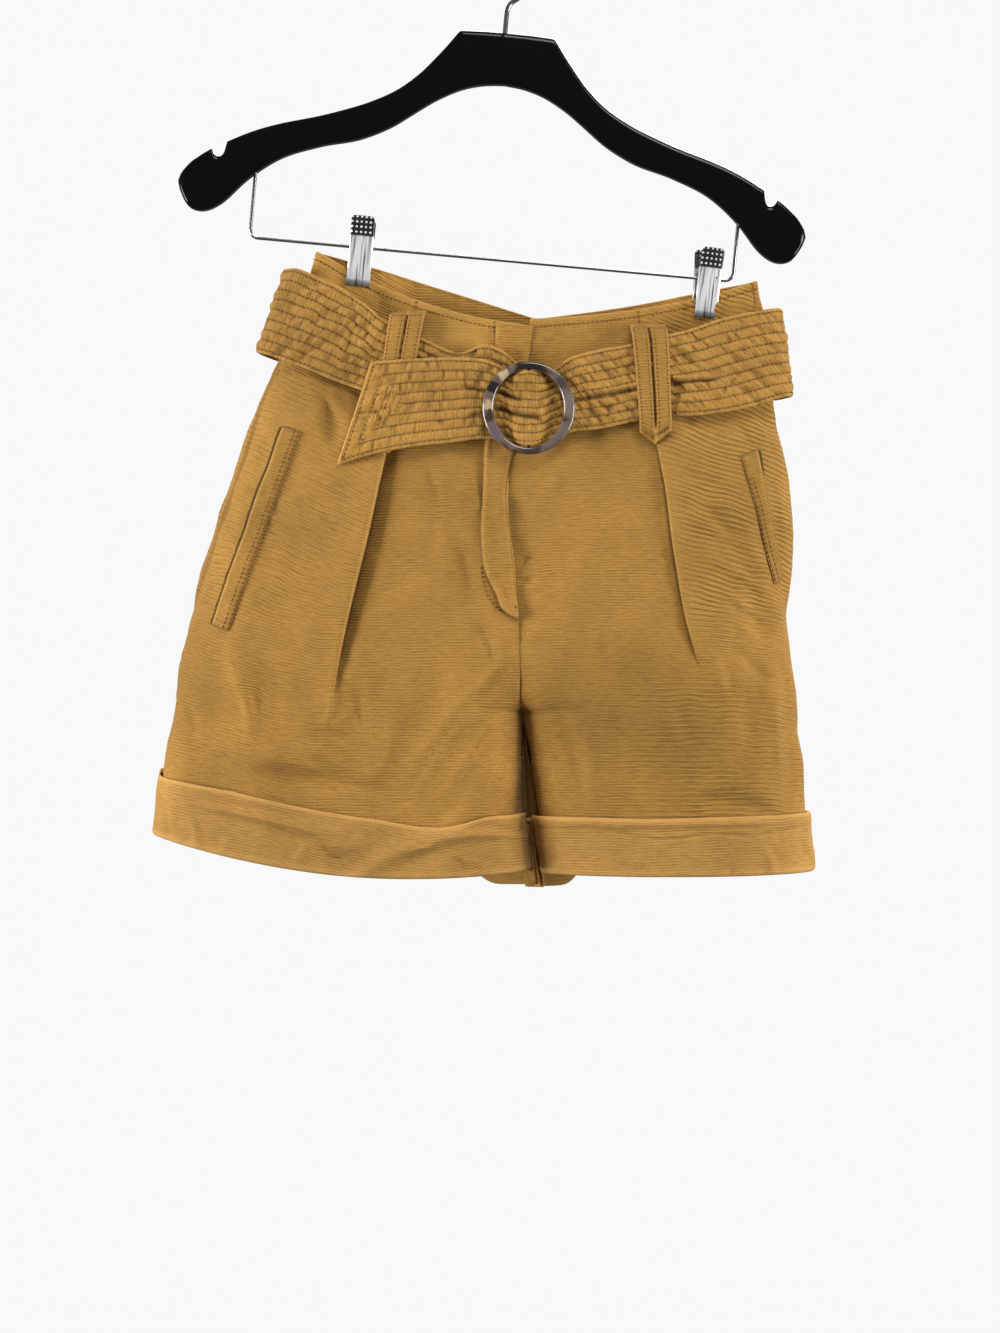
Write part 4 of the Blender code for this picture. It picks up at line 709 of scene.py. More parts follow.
def place(part, side, x, z):
    """(q, t) of the panel's point that is seen at (x, z) from the front."""
    leg = LEG[side]
    facing = 1 if part == "front" else -1
    t = np.full(np.shape(x), PLACE_FROM)
    for _ in range(PLACE_STEPS):
        w = np.clip((x - leg("side_x", t)) / (leg("centre_x", t) - leg("side_x", t)), LEAST_W, 1)
        q = facing * place_of(w)
        t = np.clip(t + (surface(side, q, t)[..., 2] - z) / RISE_LENGTH, 0, HEM)
    return q, t


# --------------------------------------
# The surface of the belt
def belt_sheet(u, v):
    """Points of the belt's inner face: u runs along its stations and v from its upper to its lower edge."""
    at = np.arange(len(BELT), dtype=float)
    edges = [smooth(u, at, column(BELT, BELT_COLUMNS, name)) for name in BELT_COLUMNS]
    top, low = np.stack(edges[:3], axis=-1), np.stack(edges[3:], axis=-1)
    return top + (low - top) * np.asarray(v)[..., None]


def belt_out(u, v):
    """Directions straight out of the belt, away from the shorts."""
    along = belt_sheet(np.minimum(u + NEAR_U, len(BELT) - 1), v) - belt_sheet(np.maximum(u - NEAR_U, 0), v)
    across = belt_sheet(u, np.ones_like(v)) - belt_sheet(u, np.zeros_like(v))
    return -unit(np.cross(along, across))


# --------------------------------------
# Fine forms of the cloth
def hashed(i, j, seed):
    """A number from 0 to 1 for each corner of a grid, the same in each run."""
    value = np.sin(i * HASH_I + j * HASH_J + seed * HASH_SEED) * HASH_GAIN
    return value - np.floor(value)


def noise(x, y, seed):
    """Smooth noise from -1 to 1 with features of about one unit."""
    x, y = np.broadcast_arrays(np.asarray(x, float), np.asarray(y, float))
    i, j = np.floor(x), np.floor(y)
    u, v = x - i, y - j
    u, v = u * u * (3 - 2 * u), v * v * (3 - 2 * v)
    low = hashed(i, j, seed) * (1 - u) + hashed(i + 1, j, seed) * u
    high = hashed(i, j + 1, seed) * (1 - u) + hashed(i + 1, j + 1, seed) * u
    return 2 * (low * (1 - v) + high * v) - 1


def along_line(x, z, ends):
    """Distance run along a line from (x0, z0) to (x1, z1), distance to its side, and its length."""
    x0, z0, x1, z1 = ends
    length = math.hypot(x1 - x0, z1 - z0)
    ux, uz = (x1 - x0) / length, (z1 - z0) / length
    return (x - x0) * ux + (z - z0) * uz, (z - z0) * ux - (x - x0) * uz, length


def creased(table, x, z):
    """How far creases move the cloth out: a soft ridge or trough along each line and a fainter one beside."""
    out = np.zeros(np.shape(x))
    for *ends, bow, wide, high in table:
        high = float(np.clip(high * CREASE_GAIN, -CREASE_SLOPE * wide, CREASE_SLOPE * wide))
        along, off, length = along_line(x, z, ends)
        share = along / length
        off = off - bow * 4 * share * (1 - share)
        width = wide * (0.8 + 0.35 * np.sin(5 * share + ends[0]))
        beside = bell(off - CREASE_BESIDE * width, CREASE_BESIDE_WIDE * width)
        out += high * (bell(off, width) - CREASE_BESIDE_HIGH * beside) * window(share, *CREASE_ENDS)
    return out


def folded(table, x, z):
    """Sharp folds: how far they move the cloth out, a trough with the cloth standing up above it, and the
    painted shade in them."""
    out, dark = np.zeros(np.shape(x)), np.zeros(np.shape(x))
    for *ends, wide, deep, high in table:
        along, off, length = along_line(x, z, ends)
        held = window(along, (-FOLD_FADE, FOLD_FADE), (length - FOLD_FADE, length + FOLD_FADE))
        out += held * (high * bell(off - FOLD_ABOVE * wide, FOLD_ABOVE_WIDE * wide) - deep * bell(off, wide))
        dark = np.maximum(dark, held * bell(off, FOLD_DARK * wide))
    return out, dark


def uneven(table, across, down, seed):
    """The noises of a table added up: height, sizes across and down with their slants, and seed."""
    return sum(high * noise(across / wide + down / slant, down / tall + across / lean, seed + more)
               for high, wide, slant, tall, lean, more in table)


def relief(side, part, points):
    """Creases and unevenness of a leg's cloth at points of its broad form."""
    x, y, z = points[..., 0], points[..., 1], points[..., 2]
    return creased(CREASES[f"{part}_{side}"], x, z) + uneven(RELIEF, x + y * SIGN[side], z, SEEDS[part, side])


def fine_cloth(part, side, q, t, lift):
    """Points over a leg with all its folds and creases."""
    base = surface(side, q, t)
    out = folds(side, q, t) + relief(side, part, base) + lift
    return base + normals(side, q, t) * out[..., None]


def over_panel(part, side, x, z, lift):
    """Points over a panel that are seen at (x, z) from the front."""
    return fine_cloth(part, side, *place(part, side, x, z), lift)


def lengths(points, axis):
    """Distance run along an axis of a grid of points."""
    steps = np.linalg.norm(np.diff(points, axis=axis), axis=-1)
    pad = [(0, 0), (0, 0)]
    pad[axis] = (1, 0)
    return np.pad(np.cumsum(steps, axis=axis), pad)


def spread(side, t, low, high, count, before=0.0):
    """The q of points spaced evenly along a row between two places, from a little before the first."""
    lead = np.linspace(low + LEAD_Q, low, LEAD_STEPS + 1)[:-1] if before else []
    q = np.concatenate([lead, np.linspace(low, high, ROW_STEPS)])
    run = run_along(surface(side, q, t))
    start = run[LEAD_STEPS] - before if before else 0
    return np.interp(np.linspace(start, run[-1], count), run, q)


def edge_roll(distance, wide, deep):
    """How far an edge's cloth turns in, over this width."""
    return -deep * np.clip(1 - distance / wide, 0, 1) ** 2


def met(side, w, t, points):
    """Points with the inseam reaching over to the other leg's behind the gap between them, and how far."""
    gap = np.clip(LEG["left"]("centre_x", t) - LEG["right"]("centre_x", t), 0, None)
    depth, share, more = MEET[side]
    target = LEG[side]("centre_x", t) + share * gap + more
    firm = bell(points[..., 1] - depth, MEET_SIZE) * step(w, *MEET_W) * step(t, CROTCH - MEET_T, CROTCH)
    points = points.copy()
    points[..., 0] += (target - points[..., 0]) * firm
    return points, firm


def cut_of(points):
    """Width, length and area in metres that a grid of points would have laid flat."""
    across, along = np.diff(points, axis=1)[:-1], np.diff(points, axis=0)[:, :-1]
    area = np.linalg.norm(np.cross(across, along), axis=-1).sum()
    return lengths(points, 1)[:, -1].max() * MM, lengths(points, 0)[-1].max() * MM, area * MM * MM


# --------------------------------------
# Meshes
def link(name, data, look=None):
    """A new object at the origin, with its look."""
    if look:
        data.materials.append(look)
    obj = bpy.data.objects.new(name, data)
    bpy.context.scene.collection.objects.link(obj)
    return obj


def set_attribute(mesh, name, values):
    layer = mesh.attributes.new(name, "FLOAT", "POINT")
    layer.data.foreach_set("value", values.astype(np.float32).ravel())


def face_outward(mesh, columns, outward):
    """Turns all faces of a grid round if its middle one doesn't look towards outward."""
    rows = len(outward)
    face = mesh.polygons[(rows // 2) * (columns - 1) + columns // 2]
    i, j = divmod(face.vertices[0], columns)
    if face.normal.dot(Vector(outward[i, j])) < 0:
        mesh.flip_normals()


def sheet_object(name, points, outward, look, uv, thick=0.0, joined=False, **finish):
    """A grid of points, [row][column] in millimetres, as a sheet whose faces look towards outward.

    finish holds the named values of each point that its material reads: its wear and painted light, its shade
    and its ripple.
    """
    rows, columns = points.shape[:2]
    bm = bmesh.new()
    bmesh.ops.create_grid(bm, x_segments=columns - 1, y_segments=rows - 1, size=1)
    mesh = bpy.data.meshes.new(name)
    bm.to_mesh(mesh)
    bm.free()
    mesh.vertices.foreach_set("co", (points * MM).astype(np.float32).ravel())
    loops = np.empty(len(mesh.loops), np.int32)
    mesh.loops.foreach_get("vertex_index", loops)
    layer = mesh.uv_layers.new(name="UVMap")
    layer.data.foreach_set("uv", (uv.reshape(-1, 2)[loops] * MM).astype(np.float32).ravel())
    for key, values in finish.items():
        set_attribute(mesh, key, values)
    mesh.update()
    face_outward(mesh, columns, outward)
    if joined:
        bm = bmesh.new()
        bm.from_mesh(mesh)
        bmesh.ops.remove_doubles(bm, verts=bm.verts, dist=DOUBLES)
        bm.to_mesh(mesh)
        bm.free()
    mesh.shade_smooth()
    obj = link(name, mesh, look)
    if thick:
        solid = obj.modifiers.new("Solidify", "SOLIDIFY")
        solid.thickness = thick * MM
        solid.offset = -1
    return obj


def close_ends(obj):
    """Fills the open ends of a tube."""
    bm = bmesh.new()
    bm.from_mesh(obj.data)
    bmesh.ops.holes_fill(bm, edges=[edge for edge in bm.edges if edge.is_boundary])
    bmesh.ops.recalc_face_normals(bm, faces=bm.faces)
    bm.to_mesh(obj.data)
    bm.free()


def swept(name, rings, look, closed=False):
    """A smooth body through rings of points, with flat ends or closed on itself."""
    rings = np.concatenate([rings, rings[:, :1]], axis=1)
    if closed:
        rings = np.concatenate([rings, rings[:1]], axis=0)
    rows, columns = rings.shape[:2]
    middle = rings.mean(axis=1, keepdims=True)
    uv = np.stack(np.meshgrid(np.arange(columns), np.arange(rows)), axis=-1).astype(float)
    obj = sheet_object(name, rings, rings - middle, look, uv, joined=True)
    if not closed:
        close_ends(obj)
    return obj


def tube(name, points, radius, look, fineness, caps=False):
    """A round wire along points in millimetres, on the rolled hanger."""
    curve = bpy.data.curves.new(name, "CURVE")
    curve.dimensions = "3D"
    curve.bevel_depth = radius * MM
    curve.bevel_resolution = fineness
    curve.use_fill_caps = caps
    spline = curve.splines.new("POLY")
    points = roll(np.asarray(points, float))
    spline.points.add(len(points) - 1)
    for target, point in zip(spline.points, points):
        target.co = (*(point * MM), 1)
    return link(name, curve, look)


def stitched(name, runs, look, sewing):
    """One mesh of short stitches along runs of points in millimetres."""
    every, long, radius = sewing
    bm = bmesh.new()
    for points in runs:
        points = np.asarray(points, float)
        run = run_along(points)
        for k in range(int(run[-1] / every)):
            middle = (k + 0.5) * every
            ends = [Vector([np.interp(at, run, points[:, axis]) for axis in range(3)])
                    for at in (middle - long / 2, middle + long / 2)]
            turn = (ends[1] - ends[0]).to_track_quat("X", "Z").to_matrix().to_4x4()
            size = Matrix.Diagonal((long / 2, radius, radius, 1))
            bmesh.ops.create_icosphere(bm, subdivisions=1, radius=MM,
                                       matrix=Matrix.Translation((ends[0] + ends[1]) / 2 * MM) @ turn @ size)
    mesh = bpy.data.meshes.new(name)
    bm.to_mesh(mesh)
    bm.free()
    mesh.shade_smooth()
    return link(name, mesh, look)


def line_over(part, side, corners, lift, spacing=1.5):
    """Points over a panel along a line of (x, z) corners."""
    corners = np.asarray(corners, float)
    run = run_along(corners)
    at = np.linspace(0, run[-1], max(3, int(run[-1] / spacing)))
    x, z = np.interp(at, run, corners[:, 0]), np.interp(at, run, corners[:, 1])
    return over_panel(part, side, x, z, lift)


# --------------------------------------
# Materials
def node(tree, kind, inputs=(), **settings):
    """A new node, with its sockets set to a value or linked to another node's output."""
    made = tree.nodes.new(kind)
    for key, value in settings.items():
        setattr(made, key, value)
    for key, value in dict(inputs).items():
        if isinstance(value, bpy.types.NodeSocket):
            tree.links.new(value, made.inputs[key])
        else:
            made.inputs[key].default_value = value
    return made


def maths(tree, operation, a, b=0.0):
    return node(tree, "ShaderNodeMath", {0: a, 1: b}, operation=operation).outputs[0]


def plus(tree, first, *others):
    for other in others:
        first = maths(tree, "ADD", first, other)
    return first


def times(tree, first, *others):
    for other in others:
        first = maths(tree, "MULTIPLY", first, other)
    return first


def centred(tree, value):
    return maths(tree, "SUBTRACT", value, 0.5)


def mixed(tree, factor, a, b, blend="MIX"):
    return node(tree, "ShaderNodeMix", {0: factor, 6: a, 7: b}, data_type="RGBA", blend_type=blend).outputs[2]


def ranged(tree, value, low, high, to_low=0.0, to_high=1.0):
    return node(tree, "ShaderNodeMapRange", {0: value, 1: low, 2: high, 3: to_low, 4: to_high}).outputs[0]


def noisy(tree, vector, scale, detail=2.0, stretch=(1, 1, 1), distortion=0.0):
    mapped = node(tree, "ShaderNodeMapping", {"Vector": vector, "Scale": stretch}).outputs[0]
    return node(tree, "ShaderNodeTexNoise", {"Vector": mapped, "Scale": scale, "Detail": detail,
                                             "Distortion": distortion}).outputs["Fac"]


def bands(tree, uv, scale, distortion, detail, detail_scale):
    """Soft bands that run along U."""
    inputs = {"Vector": uv, "Scale": scale, "Distortion": distortion, "Detail": detail,
              "Detail Scale": detail_scale}
    return node(tree, "ShaderNodeTexWave", inputs, wave_type="BANDS", bands_direction="Y").outputs["Fac"]


def surface_map(tree):
    return node(tree, "ShaderNodeUVMap", uv_map="UVMap").outputs[0]


def spot_of(tree):
    return node(tree, "ShaderNodeTexCoord").outputs["Object"]


def attribute(tree, name):
    return node(tree, "ShaderNodeAttribute", attribute_name=name).outputs["Fac"]


def grey(tree, level):
    return node(tree, "ShaderNodeCombineColor", {0: level, 1: level, 2: level}).outputs[0]


def shader_of(name, **values):
    """A material with these values on its shader's own sockets."""
    made = bpy.data.materials.new(name)
    made.use_nodes = True
    shader = made.node_tree.nodes["Principled BSDF"]
    for key, value in values.items():
        shader.inputs[key.replace("_", " ")].default_value = value
    return made, made.node_tree, shader


def bumped(tree, shader, height, distance, strength=1.0):
    bump = node(tree, "ShaderNodeBump", {"Height": height, "Distance": distance, "Strength": strength})
    tree.links.new(bump.outputs[0], shader.inputs["Normal"])


def cotton(name, light, dark, rib_strength=1.0):
    """A ribbed cotton whose ribs run along U, 2 mm apart along V, paler with wear and painted light, and
    darker with painted shade.
    """
    made, tree, shader = shader_of(name, **COTTON_SHEEN)
    uv, spot = surface_map(tree), spot_of(tree)
    rib = bands(tree, uv, RIB_SCALE, 1.1, 2.0, 0.7)
    patch = ranged(tree, noisy(tree, spot, 46, 3), 0.34, 0.66, 0.25, 1.0)
    slub = noisy(tree, uv, 260, 3, (0.5, 3.2, 1))
    grain = noisy(tree, uv, 900, 2, (1, 1.4, 1))
    ribs = times(tree, centred(tree, rib), patch)
    broad = bands(tree, uv, RIPPLE_SCALE, 5.0, 1.0, 0.35)
    broad = times(tree, centred(tree, broad), times(tree, attribute(tree, "ripple"), patch))
    level = plus(tree, 0.5, times(tree, ribs, RIB_TONE * rib_strength),
                 times(tree, centred(tree, slub), SLUB_TONE), times(tree, centred(tree, grain), GRAIN_TONE),
                 times(tree, broad, RIPPLE_TONE))
    colour = mixed(tree, level, (*dark, 1), (*light, 1))
    tone = ranged(tree, noisy(tree, spot, 15, 4), 0.3, 0.7, *TONE_RANGE)
    colour = mixed(tree, 1.0, colour, grey(tree, tone), "MULTIPLY")
    # Paler from wear, and where light is painted at the waist.
    pale = (*[min(1, c * WEAR_AND_LIGHT_PALER + WEAR_AND_LIGHT_MORE) for c in light], 1)
    colour = mixed(tree, times(tree, attribute(tree, "worn"), WEAR_AND_LIGHT_SHARE), colour, pale)
    # Painted shade: darker where the shade value says.
    deep = (*[c * SHADE_DEEP for c in dark], 1)
    colour = mixed(tree, times(tree, attribute(tree, "shade"), SHADE_SHARE), colour, deep)
    tree.links.new(colour, shader.inputs["Base Color"])
    height = plus(tree, times(tree, ribs, RIB_BUMP * rib_strength), times(tree, slub, SLUB_BUMP),
                  times(tree, broad, RIPPLE_BUMP), times(tree, grain, GRAIN_BUMP))
    bumped(tree, shader, height, WEAVE_DEPTH, 0.85)
    return made


def resin(name):
    """Marbled horn: soft patches of cream, brown, purple grey and black under a clear gloss."""
    made, tree, shader = shader_of(name, Roughness=0.28, Coat_Weight=0.8, Coat_Roughness=0.06)
    spot = spot_of(tree)
    ramp = node(tree, "ShaderNodeValToRGB", {0: noisy(tree, spot, 42, 3, distortion=1.6)})
    ends = ramp.color_ramp.elements
    for stop, (at, colour) in zip((ends[0], ends[1]), (RESIN_STOPS[0], RESIN_STOPS[-1])):
        stop.position, stop.color = at, (*colour, 1)
    for at, colour in RESIN_STOPS[1:-1]:
        ends.new(at).color = (*colour, 1)
    colour = ramp.outputs[0]
    wobble = times(tree, centred(tree, noisy(tree, spot, 160, 3)), PATCH_WOBBLE)
    for degrees, reach, wide, patch in RESIN_PATCHES:
        turn = math.radians(degrees)
        at = Vector((RING_CENTRE[0] + reach * math.cos(turn), RING_BACK - PATCH_DEEP,
                     RING_CENTRE[1] + reach * math.sin(turn))) * MM
        away = node(tree, "ShaderNodeVectorMath", {0: spot, 1: at}, operation="DISTANCE").outputs["Value"]
        inside = ranged(tree, plus(tree, away, wobble), wide * MM, wide * PATCH_FIRM * MM)
        colour = mixed(tree, inside, colour, (*patch, 1))
    tree.links.new(colour, shader.inputs["Base Color"])
    return made


def clip_steel(name):
    """Pressed steel: rows of bright studs on a dark band at the top, and painted reflections below it, as
    light and dark streaks in its colour. U runs across and V down."""
    made, tree, shader = shader_of(name, Metallic=0.5, Roughness=0.3)
    uv = surface_map(tree)
    parts = node(tree, "ShaderNodeSeparateXYZ", {0: uv})
    across, down = parts.outputs[0], parts.outputs[1]
    # Painted reflections: light and dark streaks along the clip.
    streak = noisy(tree, uv, 420, 3, (1.6, 0.06, 1))
    broad = noisy(tree, uv, 160, 2, (1.3, 0.12, 1))
    both = plus(tree, times(tree, streak, REFLECTION_STREAK_SHARE), times(tree, broad, REFLECTION_STREAK_SHARE))
    bright = ranged(tree, both, *REFLECTION_STREAK_RANGE)
    waves = [plus(tree, maths(tree, "SINE", times(tree, axis, 2 * math.pi / (pitch * MM))), 1.0)
             for axis, pitch in zip((across, down), STUD_PITCH)]
    dots = ranged(tree, times(tree, *waves), 1.9, 3.0)
    band = ranged(tree, down, STUD_BAND * MM, (STUD_BAND - STUD_BAND_EDGE) * MM)
    studs = plus(tree, STUD_DARK, times(tree, dots, STUD_BRIGHT))
    level = node(tree, "ShaderNodeMix", {0: band, 2: bright, 3: studs}).outputs[0]
    jaw = ranged(tree, down, *(at * MM for at in CLIP_JAW), 1.0, JAW_DARK)
    tree.links.new(grey(tree, times(tree, level, jaw)), shader.inputs["Base Color"])
    bumped(tree, shader, times(tree, dots, band), STUD_HIGH, 0.8)
    return made


# --------------------------------------
# The legs
def declare(obj, look_slot, *nodes):
    """A piece that stands for these nodes."""
    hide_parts(*nodes)
    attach(obj, "root")
    return obj


def rib_height(side, x, z, t):
    """V of the ribs: level on the centre part, and sloping down to the wearer's left on the side part."""
    leg = LEG[side]
    pleat = leg("side_x", t) + (leg("centre_x", t) - leg("side_x", t)) * PLEAT[side]("w", t)
    off = (x - pleat) * SIGN[side]
    soft = 1 + RIB_BEND * step(t, *RIB_BEND_T)
    bent = np.where(off > 0, np.sqrt(off * off + soft * soft) - soft, 0)
    slope = smooth(t, np.array(RIB_SLOPE_T), np.array(RIB_SLOPES[side]))
    if side == "left":
        bent = bent + RIB_STEEP * np.clip(off - RIB_STEEP_FROM, 0, None) * step(t, *RIB_STEEP_T)
    wavy = (0.5 + 1.1 * step(off, 0, 30)) * noise(x / 15, z / 17, RIB_SEED)
    return -z - slope * bent * SIGN[side] + wavy


def panel_grid(side, part):
    """q, t and the pleat's layer of a panel's points, row by row."""
    rows = np.concatenate([TOP_ROWS, np.linspace(ROWS_FROM, PANEL_END, PANEL_ROWS)])
    places, layers = [], []
    for t in rows:
        seam = float(LEG[side]("seam", t))
        if part == "back":
            places.append(spread(side, t, seam, -1, BACK_COLUMNS, SIDE_UNDERLAP))
            layers.append(np.zeros(BACK_COLUMNS))
            continue
        height = max(float(PLEAT[side]("height", t)), 0)
        run = FOLD_BASE + height * FOLD_RUN
        middle = place_of(float(PLEAT[side]("w", t)) + run / float(row_width(side, t)))
        outer = spread(side, t, seam, middle[0], SIDE_COLUMNS)[:-1]
        inner = spread(side, t, middle[-1], 1, MIDDLE_COLUMNS)[1:]
        places.append(np.concatenate([outer, middle, inner]))
        layers.append(np.concatenate([0 * outer, FOLD_LAYER, 0 * inner + 1]))
    q = np.array(places)
    return q, np.repeat(rows[:, None], q.shape[1], axis=1), np.array(layers)


def edge_wave(name, along, off, seed):
    """Small waves along an edge, which fade away from it."""
    high, long, wide, fade, more = EDGE_WAVES[name]
    return high * noise(along / long, off / wide, seed + more) * np.exp(-off / fade)


def panel_lift(side, part, q, t, layer, base, edges):
    """How far a panel's cloth stands out from its broad form."""
    to_side, to_centre = edges
    drop = t * RISE_LENGTH
    seed = SEEDS[part, side]
    centre_rolls = np.where(t > CROTCH + 0.03, 1, 0) if side == "left" else 1
    lift = folds(side, q, t, layer if part == "front" else None) + relief(side, part, base)
    lift = lift + edge_roll(to_side, *SEAM_ROLL) + edge_roll(to_centre, *SEAM_ROLL) * centre_rolls
    lift = lift - SIDE_UNDERLAP_DEEP * step(-to_side, 0, SIDE_UNDERLAP_SOFT)
    lift = lift + edge_roll(drop, *WAIST_ROLL)
    lift = lift + edge_wave("waist", base[..., 0] + base[..., 1], drop, seed)
    lift = lift + edge_wave("side", drop, to_side, seed)
    return lift - WAIST_GROOVE * bell(drop - WAIST_STITCH, WAIST_GROOVE_WIDE)


def pleat_share(side, t, full):
    """How high the pleat stands, from 0 to 1 at the height full."""
    return np.clip(PLEAT[side]("height", t) / full, 0, 1)


def panel_worn(side, part, t, layer, to_side):
    """Where a panel is pale: from wear along its edges and on the pleat's fold, and with painted light at the
    top of the waist.
    """
    drop = t * RISE_LENGTH
    worn = np.maximum(np.exp(-np.abs(to_side) / WORN_EDGE), np.exp(-drop / WORN_EDGE))
    # Painted light: the top of the waist is painted paler.
    worn = np.maximum(worn, WAIST_PAINTED_LIGHT[side] * (1 - step(drop, *WAIST_LIGHT_ENDS)))
    if part == "front":
        worn = np.maximum(worn, bell(layer - 0.2, 0.18) * pleat_share(side, t, 4) * WORN_PLEAT)
    return worn


def panel_shade(side, part, q, t, layer, base, edges, behind):
    """Where a panel is painted dark: along its seams, and with painted shade behind the gap between the legs,
    under and beside the pleat, along the inseam and in broad patches where the cloth turns away from the
    lamps.
    """
    to_side, to_centre = edges
    shade = SEAM_DARK * bell(to_side, SEAM_DARK_WIDE)
    if side == "right":
        line = CENTRE_DARK * bell(to_centre, CENTRE_DARK_WIDE) * step(t, *SEAM_SHOWS[part])
        shade = np.maximum(shade, line)
    # Painted shade behind the gap between the legs.
    shade = np.maximum(shade, GAP_DARK * step(behind, *GAP_FROM))
    inseam = INSEAM_SHADE[part] * bell(to_centre, INSEAM_WIDE) * step(t, CROTCH, CROTCH + 0.1)
    shade = np.maximum(shade, inseam)
    # Patches of painted shade.
    for x, z, wide, tall, patch_darkness in SHADE_PATCHES[side]:
        shade = shade + patch_darkness * bell(base[..., 0] - x, wide) * bell(base[..., 2] - z, tall)
    if part == "front":
        # Painted shade under the pleat's fold and in its mouth.
        under = pleat_share(side, t, 3) * window(layer, (0.3, 0.55), (0.985, 1.0))
        shade = np.maximum(shade, PLEAT_UNDER_DARK * under)
        dark, mouth = PLEAT_SHADE[side]
        off = np.abs(share_of(q) - PLEAT[side]("w", t)) * row_width(side, t)
        beside = dark * pleat_share(side, t, 4) * bell(off, mouth)
        shade = np.maximum(shade, beside * step(layer, 0.9, 1.0))
    return shade


def panel_ripple(side, part, q, t):
    """How strong the broader ripples are, beside the pleat and below it."""
    beside, below = RIPPLED[part, side]
    off = (PLEAT[side]("w", t) - share_of(q)) * row_width(side, t)
    ripple = beside * step(off, -2, 12) * (1 - step(t, 0.55, 0.72))
    return np.maximum(ripple, below * step(t, 0.7, 0.8) * bell(off, RIPPLE_WIDE))


def panel(side, part, look):
    """A front or a back, and its cut."""
    q, t, layer = panel_grid(side, part)
    base, out = surface(side, q, t), normals(side, q, t)
    across = lengths(base, 1) - (SIDE_UNDERLAP if part == "back" else 0)
    edges = across, across[:, -1:] - across
    lift = panel_lift(side, part, q, t, layer, base, edges)
    points, behind = met(side, share_of(q), t, base + out * lift[..., None])
    if side == "left":
        under = step(-edges[1], -UNDERLAP, 0) * (1 - step(t, CROTCH, CROTCH + 0.04))
        points[..., 0] -= UNDERLAP * under
        points[..., 1] += UNDERLAP_DEEP * under * (1 if part == "front" else -1)
    uv = np.stack([across, rib_height(side, base[..., 0], base[..., 2], t)], axis=-1)
    obj = sheet_object(f"{part}_{side}_cloth", points, out, look, uv, PANEL_THICK,
                       worn=panel_worn(side, part, t, layer, edges[0]),
                       shade=panel_shade(side, part, q, t, layer, base, edges, behind),
                       ripple=panel_ripple(side, part, q, t))
    return declare(obj, "cotton", f"{part}_{side}"), cut_of(base)


# --------------------------------------
# The cuffs
def cuff_section():
    """t of a cuff's rows and their distances from the leg, from inside its free edge to its turned hem."""
    faces = np.linspace(*CUFF_FACE)
    stand = CUFF_STAND * (1 - (faces - CUFF_TOP_T) / CUFF_STAND_ENDS).clip(0, 1) ** 1.2
    outer = [(t, SEAM_GAP + CUFF_CLOTH + s) for t, s in zip(faces, stand)]
    return np.array([*CUFF_TOP, *outer, *CUFF_UNDER]).T


def cuff_dips(side, x):
    """How much lower than its even line a cuff's free top edge lies, with the corners rounded over."""
    dip_x, dip = np.array(CUFF_DIPS[side], float).T
    return sum(np.interp(x + shift, dip_x, dip) for shift in DIP_SOFT) / len(DIP_SOFT)


def cuff_relief(side, part, base, t, outside):
    """Creases and unevenness of a cuff, softer on its inside."""
    x, y, z = base[..., 0], base[..., 1], base[..., 2]
    seed = SEEDS[part, side] + CUFF_SEED
    run, drop = x + y * SIGN[side], (t - CUFF_TOP_T) * RISE_LENGTH
    table = CREASES[f"cuff_{side}" if part == "front" else f"cuff_back_{side}"]
    fine = CUFF_CREASED * creased(table, x, z) + uneven(CUFF_RELIEF, run, drop, seed)
    fine = np.where(fine < 0, -CUFF_DENT * np.tanh(-fine / CUFF_DENT), fine)
    wavy = CUFF_EDGE_WAVE * noise(run / 14, 0, seed + 3) * np.exp(-np.abs(drop) / 5)
    return fine * (CUFF_INSIDE + (1 - CUFF_INSIDE) * outside) + wavy


def cuff(side, part, look):
    """A turned-up cuff and its cut. Its free top edge stands off the leg, and its foot turns up inside."""
    section_t, section_lift = cuff_section()
    q = np.array([spread(side, t, float(LEG[side]("seam", t)), 1 if part == "front" else -1, CUFF_COLUMNS)
                  for t in section_t])
    t = np.repeat(section_t[:, None], q.shape[1], axis=1)
    if part == "front":
        dips = cuff_dips(side, surface(side, q[0], t[0])[:, 0])
        t = t + dips / RISE_LENGTH * (1 - step(t, *CUFF_DIPS_T))
    base, out = surface(side, q, t), normals(side, q, t)
    across = lengths(base, 1)
    outside = step(section_lift, 0.5, 2.0)[:, None]
    lift = section_lift[:, None] + folds(side, q, t) + cuff_relief(side, part, base, t, outside)
    lift = lift + (edge_roll(across, *CUFF_ROLL) + edge_roll(across[:, -1:] - across, *CUFF_ROLL)) * outside
    points, behind = met(side, share_of(q), t, base + out * lift[..., None])
    uv = np.stack([across, lengths(points, 0)], axis=-1)
    rim = sum(bell(section_t - at, wide) for at, wide in CUFF_RIMS)
    worn = np.clip(rim[:, None] * outside + 0 * across, 0, 1)
    # Painted shade inside the cuff and behind the gap between the legs.
    shade = CUFF_INSIDE_DARK * (1 - outside) * (section_t < 1)[:, None] + 0 * across
    shade = np.maximum(shade, GAP_DARK * step(behind, *GAP_FROM) * (part == "front"))
    obj = sheet_object(f"cuff_{side}_{part}_cloth", points, out, look, uv, CUFF_THICK, worn=worn, shade=shade)
    return declare(obj, "cotton", f"cuff_{side}_{part}"), cut_of(points)


# --------------------------------------
# What is sewn on the fronts
def facing_grid(points, sign):
    """Directions straight to the front (-1) or the back (1) for each point."""
    out = np.zeros_like(points)
    out[..., 1] = sign
    return out


def strip(name, side, x, z, lift, look, uv, **finish):
    """A sewn-on strip over a front."""
    points = over_panel("front", side, x, z, lift)
    return sheet_object(name, points, facing_grid(points, -1), look, uv, STRIP_THICK, **finish)


